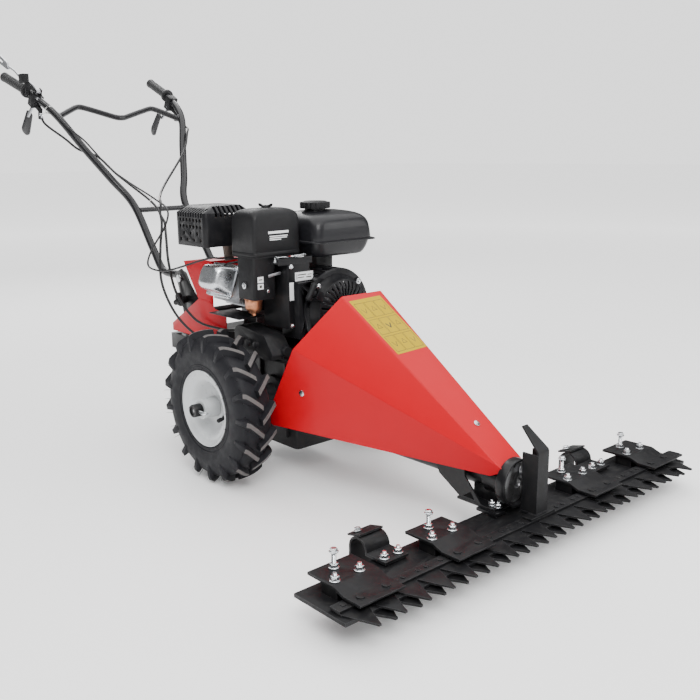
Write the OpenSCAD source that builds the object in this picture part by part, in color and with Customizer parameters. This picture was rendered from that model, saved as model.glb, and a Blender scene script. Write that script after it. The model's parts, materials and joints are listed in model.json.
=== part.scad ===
// Walk-behind brush mower with a front cutter bar.
// Millimetres. +X points forward, +Y to the operator's left, +Z up.
// The origin is on the ground, on the mid-plane, halfway along the machine.

/* [Wheels] */
// Radius of a tyre over its lugs
tyre_r = 213; // [205:1:218]
// Width of a tyre over its tread
tyre_w = 106; // [100:2:110]
// Distance of each tyre's centre from the mid-plane
track_half = 279; // [275:1:290]
// Visible radius of the rim flange
rim_r = 110; // [104:1:114]
// Lugs along one side of a tyre
lug_count = 17; // [13:1:19]

/* [Engine] */
// Sideways offset of the crankshaft from the mid-plane
crank_y = 38; // [30:1:42]
// Height of the crankshaft
crank_z = 460; // [455:1:465]
// Lean of the cylinder above the horizontal, in degrees
cylinder_lean = 20; // [16:1:22]

/* [Drive] */
// Height of the drive shaft
drive_z = 145; // [143:1:147]
// Height of the gearbox input shaft
input_z = 262; // [260:1:262]
// Throw of the crank disc, half the knife stroke
throw = 33; // [30:1:33]
// Sideways place of the knife at rest, from mid-stroke
knife_rest = 14; // [12:1:16]

/* [Cutter bar] */
// Length of the cutter bar's base plate
bar_len = 1224; // [1210:2:1224]
// Pitch of the teeth
tooth_pitch = 66.5; // [65:0.5:67]
// Moving teeth
tooth_count = 18; // [16:2:18]

/* [Handlebar] */
// Height of the grips
grip_z = 1112; // [1090:1:1130]
// Distance of each grip from the mid-plane
grip_y = 278; // [265:1:285]
// Diameter of the handle tubes
handle_d = 25; // [22:1:26]

/* [Hidden] */

$fn = 48;

// The wheels' axle stands this far ahead of the middle of the machine.
axle_x = 190;
// Running clearance, on the radius, of a shaft in its bore
run = 0.05;
// Gap kept between neighbours that don't touch
gap = 0.4;

axle_r = 12.5;
shaft_r = 12;
crank_r = 12.5;
input_teeth = 22;
output_teeth = 30;
gear_module = 2 * (input_z - drive_z) / (input_teeth + output_teeth);
gear_x = -78;
gear_w = 18;
worm_r = 20;
worm_wheel_r = 47.4;
// Place of a hub's lock pin, outboard of the tyre's centre
pin_out = 72;
case_half = 84;
case_back = -105;
case_front = 100;
case_bottom = 60;
case_top = 322;
case_wall = 8;
plate_top = 335;
// Places of the engine's mounting bolts
feet_x = [-158, 152];
feet_y = [crank_y - 66, crank_y + 66];
tube_r = 38;
tube_wall = 5;
tube_end = 738;
head_r = 57;
disc_x = 800;
head_front = 818;
bar_back = 753;
bar_front = 903;
bar_z = 60;
bar_top = 68;
knife_z = bar_top + 0.2;
teeth_t = 4;
knife_top = knife_z + teeth_t + 6;
belt_x = -215;
small_pulley_r = 40;
big_pulley_r = 76;
skid_y = 378;
skid_w = 67;
clamp_w = 116;
clamp_places = [-516, -245, 245, 516];
cover_half = 150;
pivot = [-445, 0, 505];
grip_x = -1134;
brace_x = -988;
brace_y = 248;
brace_z = 1030;
elbow = [-747, 100, 722];
knee = [-583, 100, 520];
foot = [-462, 93, 513];
lever_slope = 29;
// Lever pivots, on the slope of the tube
lever_drop = -23;
throttle_hub = [14, 0, 28];
knob = [-415, 440];

// The four corners of the hood's right side, and its mirror image's
hood_t = 2;
ridge_rear = [285, -71, 526];
ridge_front = [789, -43, 190];
crease_rear = [213, -180, 391];
lower_rear = [110, -204, 182];
lower_front = [767, -45, 159];
hood_pitch = atan2(ridge_rear.z - ridge_front.z, ridge_front.x - ridge_rear.x);
// Screw on the hood's top, and the one on its side with the side's turn
top_screw = [687, 0, 258];
side_screw = [240, -173.4, 276];
side_turn = 13.34;

function flip(p) = [p.x, -p.y, p.z];
function unit(v) = v / norm(v);

// Smooth points through a hand-chosen route, n to each stretch
function spline(p, n) = [
    for (i = [0 : len(p) - 2], j = [0 : n - 1])
        let (a = p[max(i - 1, 0)], b = p[i], c = p[i + 1], d = p[min(i + 2, len(p) - 1)], t = j / n)
            b + (c - a) * t / 2 + (a - 2.5 * b + 2 * c - d / 2) * t * t
              + (1.5 * b - a / 2 - 1.5 * c + d / 2) * t * t * t,
    p[len(p) - 1]
];

function tangent(p, i) = unit(p[min(i + 1, len(p) - 1)] - p[max(i - 1, 0)]);

// Carries one direction square to the route along it, without twist
function normals(p) = [
    for (i = 0, n = unit(cross(tangent(p, 0), [0.13, 0.27, 0.95]));
         i < len(p);
         i = i + 1, n = i < len(p) ? unit(n - (n * tangent(p, i)) * tangent(p, i)) : n) n
];

// Round tube swept along the points p
module sweep(p, r, sides) {
    side = normals(p);
    points = [
        for (i = [0 : len(p) - 1], k = [0 : sides - 1])
            p[i] + r * (cos(360 * k / sides) * side[i]
                        + sin(360 * k / sides) * cross(tangent(p, i), side[i]))
    ];
    last = len(p) - 1;
    walls = [
        for (i = [0 : last - 1], k = [0 : sides - 1])
            let (m = (k + 1) % sides)
                [i * sides + k, (i + 1) * sides + k, (i + 1) * sides + m, i * sides + m]
    ];
    ends = [
        [for (k = [0 : sides - 1]) k],
        [for (k = [sides - 1 : -1 : 0]) last * sides + k]
    ];
    polyhedron(points, concat(walls, ends), convexity = 6);
}

// Straight round bar from a to b
module rod(a, b, r) {
    d = b - a;
    translate(a)
        rotate([0, acos(d.z / norm(d)), atan2(d.y, d.x)])
            cylinder(r = r, h = norm(d));
}

// Flat sheet with its outer face on the corners p, t thick on the inner side
module panel(p, t) {
    inward = -t * unit(cross(p[1] - p[0], p[2] - p[0]));
    n = len(p);
    polyhedron(
        concat(p, [for (q = p) q + inward]),
        concat(
            [[for (i = [n - 1 : -1 : 0]) i]],
            [[for (i = [0 : n - 1]) n + i]],
            [for (i = [0 : n - 1]) [i, (i + 1) % n, n + (i + 1) % n, n + i]]
        )
    );
}

// Puts a part drawn from the axle into the machine's own frame
module place() { translate([axle_x, 0, 0]) children(); }

// Draws its children on both sides of the mid-plane
module both_sides() {
    children();
    mirror([0, 1, 0]) children();
}

// Cylinder along X, from x0 to x1
module along_x(x0, x1, y, z, r) {
    translate([x0, y, z]) rotate([0, 90, 0]) cylinder(r = r, h = x1 - x0);
}

// Cylinder along Y, from y0 to y1
module along_y(y0, y1, x, z, r) {
    translate([x, y1, z]) rotate([90, 0, 0]) cylinder(r = r, h = y1 - y0);
}

// Block from corner a to corner b
module block(a, b) { translate(a) cube(b - a); }

// Block with its upright edges rounded
module soft_block(a, b, r) {
    translate([0, 0, a.z]) linear_extrude(b.z - a.z) hull()
        for (x = [a.x + r, b.x - r], y = [a.y + r, b.y - r]) translate([x, y]) circle(r, $fn = 24);
}

// Outline in X and Z, drawn thick along Y from y0 to y1
module profile_y(outline, y0, y1) {
    translate([0, y1, 0]) rotate([90, 0, 0]) linear_extrude(y1 - y0) polygon(outline);
}

// Hexagon head on top of z, with its washer and the shank below
module bolt_up(x, y, z, across = 17, head = 8, shank = 8, depth = 20) {
    translate([x, y, z]) {
        cylinder(r = across * 0.66, h = 2.5, $fn = 24);
        translate([0, 0, 2.5]) cylinder(d = across / cos(30), h = head, $fn = 6);
        translate([0, 0, -depth]) cylinder(d = shank, h = depth, $fn = 24);
    }
}

// ---- Chassis ----

module chassis_frame() {
    rail_back = -350;
    color("#26272b") place() {
        difference() {
            block([-172, -130, plate_top - 10], [166, 130, plate_top]);
            for (x = feet_x, y = feet_y)
                translate([x, y, plate_top - 11]) cylinder(d = 10.5, h = 12);
        }
        both_sides() {
            block([rail_back, 104, 295], [-171, 130, plate_top]);
            rod([160, 116, 328], [236, 158, 268], 6);
        }
        // Channel across the rear end
        difference() {
            block([-455, -152, 285], [rail_back, 152, 333]);
            block([-450, -147, 284], [rail_back - 5, 147, 328]);
        }
        // Cross strap with a tab at each end that carries the hood's side
        translate([0, 0, 262]) linear_extrude(5)
            polygon([[226, -171], [254, -165], [254, 165], [226, 171]]);
        both_sides() translate(side_screw) rotate(side_turn) difference() {
            block([-14, 2.4, -16], [14, 7, 14]);
            rotate([90, 0, 0]) cylinder(r = 3 + run, h = 30, center = true);
        }
    }
}

module gearbox_case() {
    inner = case_half - case_wall;
    color("#1f2023") place() {
        difference() {
            union() {
                soft_block([case_back, -case_half, case_bottom], [case_front, case_half, case_top], 14);
                both_sides() {
                    along_y(case_half - 2, 196, 0, tyre_r, 30);
                    along_y(case_half - 2, case_half + 14, 0, tyre_r, 52);
                    for (x = [-60, 60])
                        block([x - 4, case_half - 2, 90], [x + 4, case_half + 8, case_top - 10]);
                }
                along_x(case_front - 2, case_front + 12, 0, drive_z, 54);
                along_x(case_back - 24, case_back + 2, 0, input_z, 34);
            }
            block(
                [case_back + case_wall, -inner, case_bottom + case_wall],
                [case_front - case_wall, inner, case_top + 1]
            );
            along_y(-200, 200, 0, tyre_r, axle_r + run);
            along_x(case_front - 20, case_front + 20, 0, drive_z, shaft_r + run);
            along_x(case_back - 30, case_back + 20, 0, input_z, shaft_r + run);
        }
        // Bearing web between the gears and the worm
        difference() {
            block([-58, -inner - 1, case_bottom + case_wall - 1], [-50, inner + 1, 300]);
            along_x(-60, -45, 0, drive_z, shaft_r + run);
            along_x(-60, -45, 0, input_z, shaft_r + run);
            along_y(-case_half, case_half, 0, tyre_r, worm_wheel_r + 8);
        }
    }
}

module gearbox_lid() {
    color("#34363a") place() {
        soft_block([case_back, -case_half, case_top], [case_front, case_half, case_top + 3], 14);
        translate([case_back + 40, -40, case_top - 6]) cylinder(r = 9, h = 7);
    }
}

module clutch_housing() {
    inboard = -98;
    depth = 66;
    color("#2b2d31") place() {
        translate([0, inboard, 0]) rotate([90, 0, 0]) linear_extrude(depth) hull() {
            translate([-62, plate_top + 16]) circle(16, $fn = 32);
            translate([-52, 392]) circle(24, $fn = 32);
            translate([52, 378]) circle(26, $fn = 32);
            translate([92, plate_top + 12]) circle(12, $fn = 32);
        }
        for (x = [-70, 95]) block([x - 12, -130, plate_top], [x + 12, inboard, plate_top + 9]);
        along_x(95, 113, -118, 356, 15);
        for (x = [-48, -8, 32]) along_y(inboard - depth - 8, inboard - depth + 1, x, 372, 10);
    }
}

module shaft_tube() {
    // Underside of the hood's top panel above x, less a small gap
    function under_hood(x) = ridge_rear.z - (x - ridge_rear.x) * tan(hood_pitch) - 2.9;
    color("#222428") place() {
        difference() {
            union() {
                along_x(case_front + 12, tube_end, 0, drive_z, tube_r);
                along_x(case_front + 12, case_front + 24, 0, drive_z, 54);
                // Upright that holds the hood's top panel
                block([679, -14, drive_z + 30], [683, 14, 256.5]);
                translate([0, -14, 0]) panel_strip([
                    [674, under_hood(674)], [701, under_hood(701)],
                    [698.8, under_hood(701) - 3.4], [671.8, under_hood(674) - 3.4]
                ], 28);
            }
            along_x(case_front + 11, tube_end + 1, 0, drive_z, tube_r - tube_wall);
            translate(top_screw) rotate([0, hood_pitch, 0]) translate([0, 0, -20])
                cylinder(r = 3 + run, h = 30);
        }
        for (x = [case_front + 13, tube_end - 22]) difference() {
            along_x(x, x + 18, 0, drive_z, tube_r - tube_wall + 0.5);
            along_x(x - 1, x + 19, 0, drive_z, shaft_r + run);
        }
    }
}

module panel_strip(outline, w) {
    translate([0, w, 0]) rotate([90, 0, 0]) linear_extrude(w) polygon(outline);
}

module head_frame() {
    side = [[600, 176], [612, 132], [682, 86], [776, 86], [776, 152], [716, 156], [690, 176]];
    window = [[640, 132], [688, 98], [728, 98], [704, 132]];
    color("#17181a") place() {
        both_sides() difference() {
            profile_y(side, 46, 52);
            profile_y(window, 40, 60);
        }
        // Foot plate on the cutter bar, bent up to the side plates
        difference() {
            block([676, -52, 80], [790, 52, 86]);
            for (x = [768, 786], y = [-34, 34])
                translate([x, y, 79]) cylinder(d = 10.5, h = 9, $fn = 24);
        }
        both_sides() difference() {
            block([742, 24, bar_top], [800, 60, 80]);
            for (x = [768, 786]) translate([x, 34, bar_top - 1]) cylinder(d = 10.5, h = 14, $fn = 24);
        }
        // Saddle that grips the shaft tube
        difference() {
            block([612, -47, 128], [640, 47, 176]);
            along_x(600, 650, 0, drive_z, tube_r + run);
        }
    }
}

module head_housing() {
    disc_back = 792;
    neck_r = 39;
    color("#2a2b2e") place() difference() {
        union() {
            along_x(tube_end, disc_back + 2, 0, drive_z, neck_r);
            along_x(disc_back, head_front, 0, drive_z, head_r);
        }
        along_x(tube_end - 1, tube_end + 9, 0, drive_z, shaft_r + run);
        along_x(tube_end + 8, disc_back + 6, 0, drive_z, neck_r - 5);
        along_x(disc_back + 5, head_front + 1, 0, drive_z, head_r - 5);
    }
}

module handle_bracket() {
    plate = [
        [-470, 508], [-462, 526], [-440, 536], [-424, 524],
        [-352, 452], [-352, 333], [-420, 333], [-446, 430]
    ];
    color("#191a1c") place() {
        both_sides() difference() {
            profile_y(plate, 108, 114);
            along_y(100, 120, pivot.x, pivot.z, 8 + run);
            along_y(100, 120, knob.x, knob.y, 6 + run);
        }
        both_sides() block([-420, 113, 333], [-352, 130, 338]);
        along_y(-109, 109, -390, 400, 9);
    }
}

// ---- Sheet covers ----

module hood_side() {
    panel([crease_rear, ridge_front, ridge_rear], hood_t);
    panel([lower_rear, ridge_front, crease_rear], hood_t);
    panel([lower_front, ridge_front, lower_rear], hood_t);
}

module front_hood() {
    screw_r = 4.2;
    color("#e3202f") place() {
        difference() {
            union() {
                hood_side();
                mirror([0, 1, 0]) hood_side();
                panel([ridge_front, flip(ridge_front), flip(ridge_rear), ridge_rear], hood_t);
            }
            translate(top_screw) rotate([0, hood_pitch, 0]) cylinder(r = screw_r, h = 20, center = true);
            both_sides() translate(side_screw) rotate(side_turn) rotate([90, 0, 0])
                cylinder(r = screw_r, h = 20, center = true);
        }
    }
}

module rear_cover() {
    low = [[-138, 342], [-138, 436], [-196, 441], [-226, 462], [-284, 462], [-446, 366], [-446, 342]];
    high = [[-362, 571], [-262, 583], [-206, 583], [-206, 441], [-226, 441], [-286, 459], [-298, 478]];
    sheet = 2;
    color("#dd1f2e") place() {
        both_sides() {
            profile_y(low, cover_half - sheet, cover_half);
            profile_y(high, cover_half - sheet - 1, cover_half - 1);
            // Flanges of the sloping back, cut away in the middle for the handle
            profile_y(
                [[-284, 462], [-446, 366], [-446, 342], [-444, 342], [-444, 365], [-283, 460]],
                120, cover_half
            );
            profile_y([[-362, 571], [-298, 478], [-296, 479], [-359, 570]], 120, cover_half - 1);
        }
        // Top of the cowl
        block([-262, -cover_half + 1, 581], [-206, cover_half - 1, 583]);
        profile_y([[-362, 571], [-262, 583], [-262, 581], [-361, 569]], -cover_half + 1, cover_half - 1);
        block([-208, -cover_half + 1, 520], [-206, cover_half - 1, 583]);
    }
}

// ---- Engine ----

// Places its children along the leaning cylinder: +Z outwards, from the crankshaft
module leaning(x, out) {
    translate([x, crank_y, crank_z]) rotate([90 - cylinder_lean, 0, 0]) translate([0, 0, out])
        children();
}

cyl_x = -78;

module engine_block() {
    color("#1c1d20") place() {
        difference() {
            union() {
                soft_block([-138, crank_y - 88, 350], [58, crank_y + 92, 520], 16);
                for (y = [crank_y - 90, crank_y + 50]) block([-170, y, plate_top], [164, y + 40, 352]);
                along_x(-150, -136, crank_y, crank_z, 70);
                block([-138, crank_y - 20, 500], [30, crank_y + 92, 560]);
                leaning(cyl_x, 40) cylinder(r = 47, h = 130);
                // Rest for the fuel tank
                block([-30, 60, 550], [28, 120, 609]);
            }
            block([-126, crank_y - 76, 362], [46, crank_y + 80, 512]);
            along_x(-160, -120, crank_y, crank_z, crank_r + run);
            along_x(40, 70, crank_y, crank_z, crank_r + run);
            leaning(cyl_x, 30) cylinder(r = 36, h = 150);
            for (x = feet_x, y = feet_y)
                translate([x, y, plate_top - 1]) cylinder(d = 10.5, h = 30);
        }
        for (i = [0 : 6]) difference() {
            leaning(cyl_x, 96 + 11 * i) translate([-60, -52, 0]) cube([120, 104, 3]);
            leaning(cyl_x, 90 + 11 * i) cylinder(r = 46, h = 20);
        }
        // Oil filler with its plug
        rod([40, crank_y + 74, 372], [56, crank_y + 128, 392], 13);
    }
}

module cylinder_head() {
    color("#aeb2b6") place() {
        leaning(cyl_x, 170.2) {
            translate([-66, -56, 0]) cube([136, 112, 5]);
            for (i = [0 : 4]) translate([-62, -52, 12 + 9 * i]) cube([124, 104, 3]);
            translate([-46, -40, 5]) cube([92, 80, 66]);
        }
        // Spark plug
        leaning(cyl_x - 20, 200) rotate([0, -62, 0]) cylinder(r = 10, h = 78, $fn = 24);
    }
}

module valve_cover() {
    color("#c9cdd1") place() leaning(cyl_x - 4, 241.4) {
        linear_extrude(4) square([118, 96], center = true);
        hull() {
            translate([0, 0, 4]) linear_extrude(2) square([106, 84], center = true);
            translate([0, 0, 58]) linear_extrude(2) square([84, 62], center = true);
        }
        for (x = [-52, 52], y = [-41, 41]) translate([x, y, 4]) cylinder(d = 13, h = 7, $fn = 6);
    }
}

module cylinder_shroud() {
    color("#18191b") place() {
        // Sheet beside the cylinder, turned round its front edge
        block([4, -116, 420], [120, -113, 604]);
        block([117, -116, 420], [120, -97.5, 604]);
        block([117, -116, 549.5], [120, crank_y - 80, 604]);
        // Governor plate above it
        block([2, -126, 603], [122, -34, 606]);
        block([94, -158, 603], [122, -34, 606]);
        block([119, -150, 598], [122, -34, 616]);
        along_y(-150, -50, 106, 608.5, 3);
        block([96, -140, 605], [101, -40, 611]);
        // Air guide under the cylinder
        block([-140, -206, 444], [10, -120, 447]);
    }
}

module fan_cover() {
    shell_r = 118;
    color("#1a1b1d") place() difference() {
        union() {
            along_x(62, 142, crank_y, crank_z, shell_r);
            block([62, crank_y - 134, 392], [138, crank_y - 60, 548]);
        }
        along_x(50, 136, crank_y, crank_z, shell_r - 5);
        block([50, crank_y - 129, 397], [132, crank_y - 60, 543]);
        along_x(130, 150, crank_y, crank_z, 86);
        // Air slots round the upper shoulder
        for (a = [20 : 14 : 160]) translate([100, crank_y, crank_z]) rotate([a - 90, 0, 0])
            block([10, -4, 100], [36, 4, 130]);
    }
}

// Turn, about X, of the starter rope's pull from straight up
pull_lean = 60;

module recoil_cover() {
    dish = [[0, 178], [30, 178], [70, 178], [88, 170], [92, 158], [102, 144], [102, 142],
            [99, 142], [89, 157], [85, 168], [69, 175], [0, 175]];
    color("#141516") place() {
        difference() {
            translate([0, crank_y, crank_z]) rotate([0, 90, 0])
                rotate_extrude($fn = 64) polygon(dish);
            for (i = [0 : 31]) translate([0, crank_y, crank_z]) rotate([360 * i / 32, 0, 0])
                block([160, -2.6, 40], [190, 2.6, 84]);
        }
        along_x(176, 188, crank_y, crank_z, 30);
        for (a = [45 : 90 : 315]) translate([142, crank_y, crank_z]) rotate([a, 0, 0])
            translate([0, 0, 104]) rotate([0, 90, 0]) cylinder(r = 10, h = 8, $fn = 24);
        // Rest for the starter's pull handle
        translate([150, -52, 514]) rotate([pull_lean, 0, 0]) difference() {
            block([-8, -12, -16], [26, 12, 8]);
            block([-4, -9, -6], [22, 9, 9]);
        }
    }
}

module fuel_tank() {
    x0 = -60;
    x1 = 152;
    y0 = -41;
    y1 = 174;
    color("#1b1c1e") place() difference() {
        union() {
            hull() {
                soft_block([x0, y0, 655], [x1, y1, 690], 26);
                soft_block([x0 + 6, y0 + 6, 712], [x1 - 10, y1 - 14, 716], 30);
                soft_block([x0 + 26, y0 + 30, 732], [x1 - 34, y1 - 44, 735], 30);
            }
            soft_block([x0 - 6, y0 - 3, 649], [x1 + 8, y1 + 13, 655.5], 30);
            soft_block([x0 + 6, y0 + 8, 609], [x1 - 8, y1 - 16, 649.5], 30);
            translate([52, crank_y, 730]) cylinder(r = 30, h = 9);
        }
        block([x0 + 26, y0 + 34, 617], [x1 - 28, y1 - 42, 718]);
        translate([52, crank_y, 700]) cylinder(r = 25, h = 60);
    }
}

module fuel_cap() {
    color("#131315") place() translate([52, crank_y, 0]) {
        difference() {
            translate([0, 0, 739.2]) cylinder(r = 43, h = 17);
            for (i = [0 : 17]) rotate(20 * i) translate([45.5, 0, 738]) cylinder(r = 5, h = 24, $fn = 16);
        }
        translate([0, 0, 756]) cylinder(r1 = 38, r2 = 30, h = 3);
        translate([0, 0, 724]) cylinder(r = 24.5, h = 15.5);
    }
}

module air_filter_cover() {
    color("#1d1e21") place() difference() {
        hull() {
            soft_block([-20, -205, 622], [92, -46, 729], 12);
            soft_block([-2, -190, 744], [82, -60, 748], 12);
        }
        block([-15, -200, 615], [86, -52, 728]);
        translate([32, -120, 725]) cylinder(d = 7, h = 30, $fn = 24);
    }
    // Wing nut on the cover's stud
    color("#101012") place() translate([32, -120, 748]) {
        cylinder(r = 12, h = 6, $fn = 24);
        cylinder(d = 5, h = 13, $fn = 24);
        for (i = [0 : 4]) rotate(72 * i + 20) block([4, -2, 2], [24, 2, 10]);
    }
}

module filter_element() {
    color("#c8a85a") place() difference() {
        soft_block([-8, -190, 622.3], [78, -66, 706], 14);
        soft_block([8, -174, 630], [62, -82, 707], 10);
        translate([32, -120, 620]) cylinder(d = 8, h = 20);
    }
}

module filter_base() {
    box = [[6, -204, 506], [84, -130, 618]];
    color("#1b1c1f") place() {
        difference() {
            soft_block(box[0], box[1], 8);
            block([12, -198, 500], [78, -136, 612]);
        }
        soft_block([-18, -203, 618], [90, -48, 622], 10);
        translate([32, -120, 621]) cylinder(d = 6, h = 126.9, $fn = 24);
    }
    color("#d0d3d6") place() {
        translate([44, -204, 544]) rotate([90, 0, 0]) cylinder(r = 9, h = 3, $fn = 24);
        translate([84, -160, 528]) rotate([0, 90, 0]) cylinder(r = 9, h = 3, $fn = 24);
    }
}

module carburettor() {
    color("#b9825a") place() translate([26, -166, 0]) {
        rotate_extrude() polygon([[0, 462], [14, 462], [23, 474], [24, 492], [24, 500], [0, 500]]);
        translate([0, 0, 454]) cylinder(d = 13, h = 9, $fn = 6);
        block([-13, -22, 500], [13, 22, 560]);
        translate([0, 0, 530]) rotate([-90, 0, 0]) cylinder(r = 13, h = 29);
    }
}

module choke_lever() {
    color("#8d9194") place() translate([86.5, -122, 574]) {
        rotate([0, 90, 0]) cylinder(r = 5, h = 4);
        rotate([8, 0, 0]) block([1.2, -38, -4], [4, 1, 4]);
    }
    color("#8d9194") place() along_x(60, 89, -122, 574, 2.4);
}

module muffler() {
    color("#3a3431") place() {
        soft_block([-196, -244, 652], [-70, -120, 722], 20);
        rod([-120, -150, 654], [-108, -150, 595], 14);
    }
}

module muffler_guard() {
    x0 = -208;
    x1 = -56;
    y0 = -260;
    y1 = -106;
    color("#141416") place() difference() {
        hull() {
            soft_block([x0, y0, 642], [x1, y1, 734], 12);
            soft_block([x0 + 16, y0 + 34, 748], [x1 - 16, y1 - 20, 752], 12);
        }
        block([x0 + 4, y0 + 4, 630], [x1 - 4, y1 + 10, 731]);
        // Punched holes in the right face
        for (i = [0 : 6], j = [0 : 3]) if ((i + j) % 2 == 0 || j > 1)
            along_y(y0 - 10, y0 + 10, x0 + 26 + 17 * i, 660 + 18 * j, 5);
        // Louvres along the top's edges
        for (i = [0 : 9]) block([x0 + 14 + 13 * i, y0 - 2, 722], [x0 + 21 + 13 * i, y0 + 22, 760]);
        for (i = [0 : 6]) block([x1 - 22, y0 + 34 + 15 * i, 722], [x1 + 2, y0 + 42 + 15 * i, 760]);
    }
}

module crankshaft() {
    color("#b5b8bb") place() {
        along_x(-240, 62, crank_y, crank_z, crank_r);
        along_x(-92, -66, crank_y, crank_z, 44);
        // Flywheel with its cooling fan
        along_x(74, 90, crank_y, crank_z, 96);
        for (i = [0 : 11]) translate([90, crank_y, crank_z]) rotate([30 * i, 0, 0])
            block([0, -2, 52], [28, 2, 94]);
        along_x(60, 132, crank_y, crank_z, 14);
    }
}

module recoil_handle() {
    color("#121214") place() translate([162, -52, 514]) rotate([pull_lean, 0, 0]) {
        translate([-10, -7, 9]) cube([20, 14, 9]);
        translate([0, -27, 22]) rotate([-90, 0, 0]) cylinder(r = 9, h = 54);
        translate([0, 0, -5]) cylinder(r = 3, h = 22, $fn = 24);
    }
}

// ---- Belt drive and gears ----

// Pulley outline with one V groove, r to the rim and w wide
function pulley(r, w) = [
    [0, -w / 2], [r, -w / 2], [r, -w / 2 + 2], [r - 11, -3], [r - 11, 3], [r, w / 2 - 2],
    [r, w / 2], [0, w / 2]
];

module drive_pulley() {
    color("#8f9397") place() translate([belt_x, crank_y, crank_z]) rotate([0, 90, 0]) difference() {
        rotate_extrude() polygon(pulley(small_pulley_r, 22));
        cylinder(r = crank_r + run, h = 60, center = true);
    }
}

module driven_pulley() {
    color("#8f9397") place() translate([belt_x, 0, input_z]) rotate([0, 90, 0]) difference() {
        rotate_extrude() polygon(pulley(big_pulley_r, 22));
        cylinder(r = shaft_r + run, h = 60, center = true);
        for (a = [0 : 60 : 300]) rotate(a) translate([40, 0, 0]) cylinder(r = 11, h = 60, center = true);
    }
}

module drive_belt() {
    color("#101011") place() translate([belt_x - 3.3, 0, 0]) rotate([90, 0, 90]) linear_extrude(6.6)
        difference() {
            hull() {
                translate([crank_y, crank_z]) circle(small_pulley_r - 2);
                translate([0, input_z]) circle(big_pulley_r - 2);
            }
            hull() {
                translate([crank_y, crank_z]) circle(small_pulley_r - 10);
                translate([0, input_z]) circle(big_pulley_r - 10);
            }
        }
}

// Spur gear of n teeth, with generous backlash, w wide along X
module gear(n, w) {
    pr = gear_module * n / 2;
    step = 360 / n;
    linear_extrude(w) polygon([
        for (i = [0 : n - 1], c = [[-0.30, -1.15], [-0.12, 0.8], [0.12, 0.8], [0.30, -1.15]])
            let (a = step * (i + c[0]), r = pr + c[1] * gear_module) [r * cos(a), r * sin(a)]
    ]);
}

module input_shaft() {
    color("#a7abaf") place() {
        along_x(-240, -44, 0, input_z, shaft_r);
        translate([gear_x, 0, input_z]) rotate([90, 0, 90]) gear(input_teeth, gear_w);
    }
}

module drive_shaft() {
    color("#a7abaf") place() {
        along_x(-96, disc_x + 9, 0, drive_z, shaft_r);
        translate([gear_x, 0, drive_z]) rotate([90, 0, 90])
            rotate(180 / output_teeth) gear(output_teeth, gear_w);
        // Worm under the axle
        difference() {
            along_x(-40, 40, 0, drive_z, worm_r);
            for (i = [-3 : 3]) translate([10 * i, 0, drive_z]) rotate([0, 90, 0])
                rotate_extrude() translate([worm_r - 3, -2]) square([6, 4]);
        }
    }
}

module crank_disc() {
    disc_w = 12;
    pin_a = asin(knife_rest / throw);
    color("#7d8185") place() {
        difference() {
            along_x(disc_x, disc_x + disc_w, 0, drive_z, 50);
            along_x(disc_x - 1, disc_x + disc_w + 1, 0, drive_z, shaft_r + run);
            along_x(disc_x + 5, disc_x + disc_w + 1, 0, drive_z - 60, 34);
        }
        translate([0, knife_rest, drive_z + throw * cos(pin_a)]) {
            along_x(disc_x + disc_w - 2, 826, 0, 0, 8);
            along_x(disc_x + disc_w + 3, 824, 0, 0, 14.5);
        }
    }
}

module axle_shaft() {
    color("#9a9ea2") place() {
        difference() {
            along_y(-track_half - 80, track_half + 80, 0, tyre_r, axle_r);
            for (s = [-1, 1]) at_wheel(s) translate([0, 0, pin_out]) rotate([0, 90, 0])
                cylinder(r = 4 + run, h = 60, center = true, $fn = 24);
        }
        // Bronze worm wheel
        difference() {
            along_y(-17, 17, 0, tyre_r, worm_wheel_r);
            for (i = [0 : 29]) translate([0, 0, tyre_r]) rotate([0, 12 * i, 0])
                block([-2.2, -18, worm_wheel_r - 5], [2.2, 18, worm_wheel_r + 2]);
        }
    }
}

// ---- Wheels ----

// A wheel part drawn about Y, centred on the tyre, moved to the wheel at side s
module at_wheel(s) {
    translate([0, s * track_half, tyre_r]) scale_y(s) rotate([-90, 0, 0]) children();
}

module scale_y(s) {
    if (s < 0) mirror([0, 1, 0]) children();
    else children();
}

// Rim profile: radius against distance outboard of the tyre's centre
module rim() {
    dish = [
        [26, 6], [52, 10], [78, 30], [90, 34], [99, 30], [101, 38], [rim_r, 44], [rim_r + 2, 49],
        [rim_r - 2, 50], [98, 44], [94, 40], [88, 39], [74, 35], [50, 15], [30, 11], [26, 11]
    ];
    rotate_extrude($fn = 64) polygon(dish);
    rotate_extrude($fn = 64) polygon([
        [94, 36], [99, 30], [98, -36], [rim_r, -44], [rim_r + 2, -49], [rim_r - 3, -50], [93, -38]
    ]);
    difference() {
        translate([0, 0, -44]) cylinder(r = 27, h = 94);
        translate([0, 0, -50]) cylinder(r = axle_r + run, h = 120);
    }
    translate([0, 0, 40]) difference() {
        cylinder(r = 21, h = 44);
        translate([0, 0, -1]) cylinder(r = axle_r + run, h = 60);
        translate([0, 0, pin_out - 40]) rotate([0, 90, 0])
            cylinder(r = 4 + run, h = 60, center = true, $fn = 24);
    }
    // Valve stem
    rotate(8) translate([80, 0, 34]) rotate([0, 18, 0]) cylinder(r = 6, h = 30, $fn = 24);
}

module rim_right() { color("#f2f3f2") place() at_wheel(-1) rim(); }
module rim_left() { color("#f2f3f2") place() at_wheel(1) rim(); }

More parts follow.
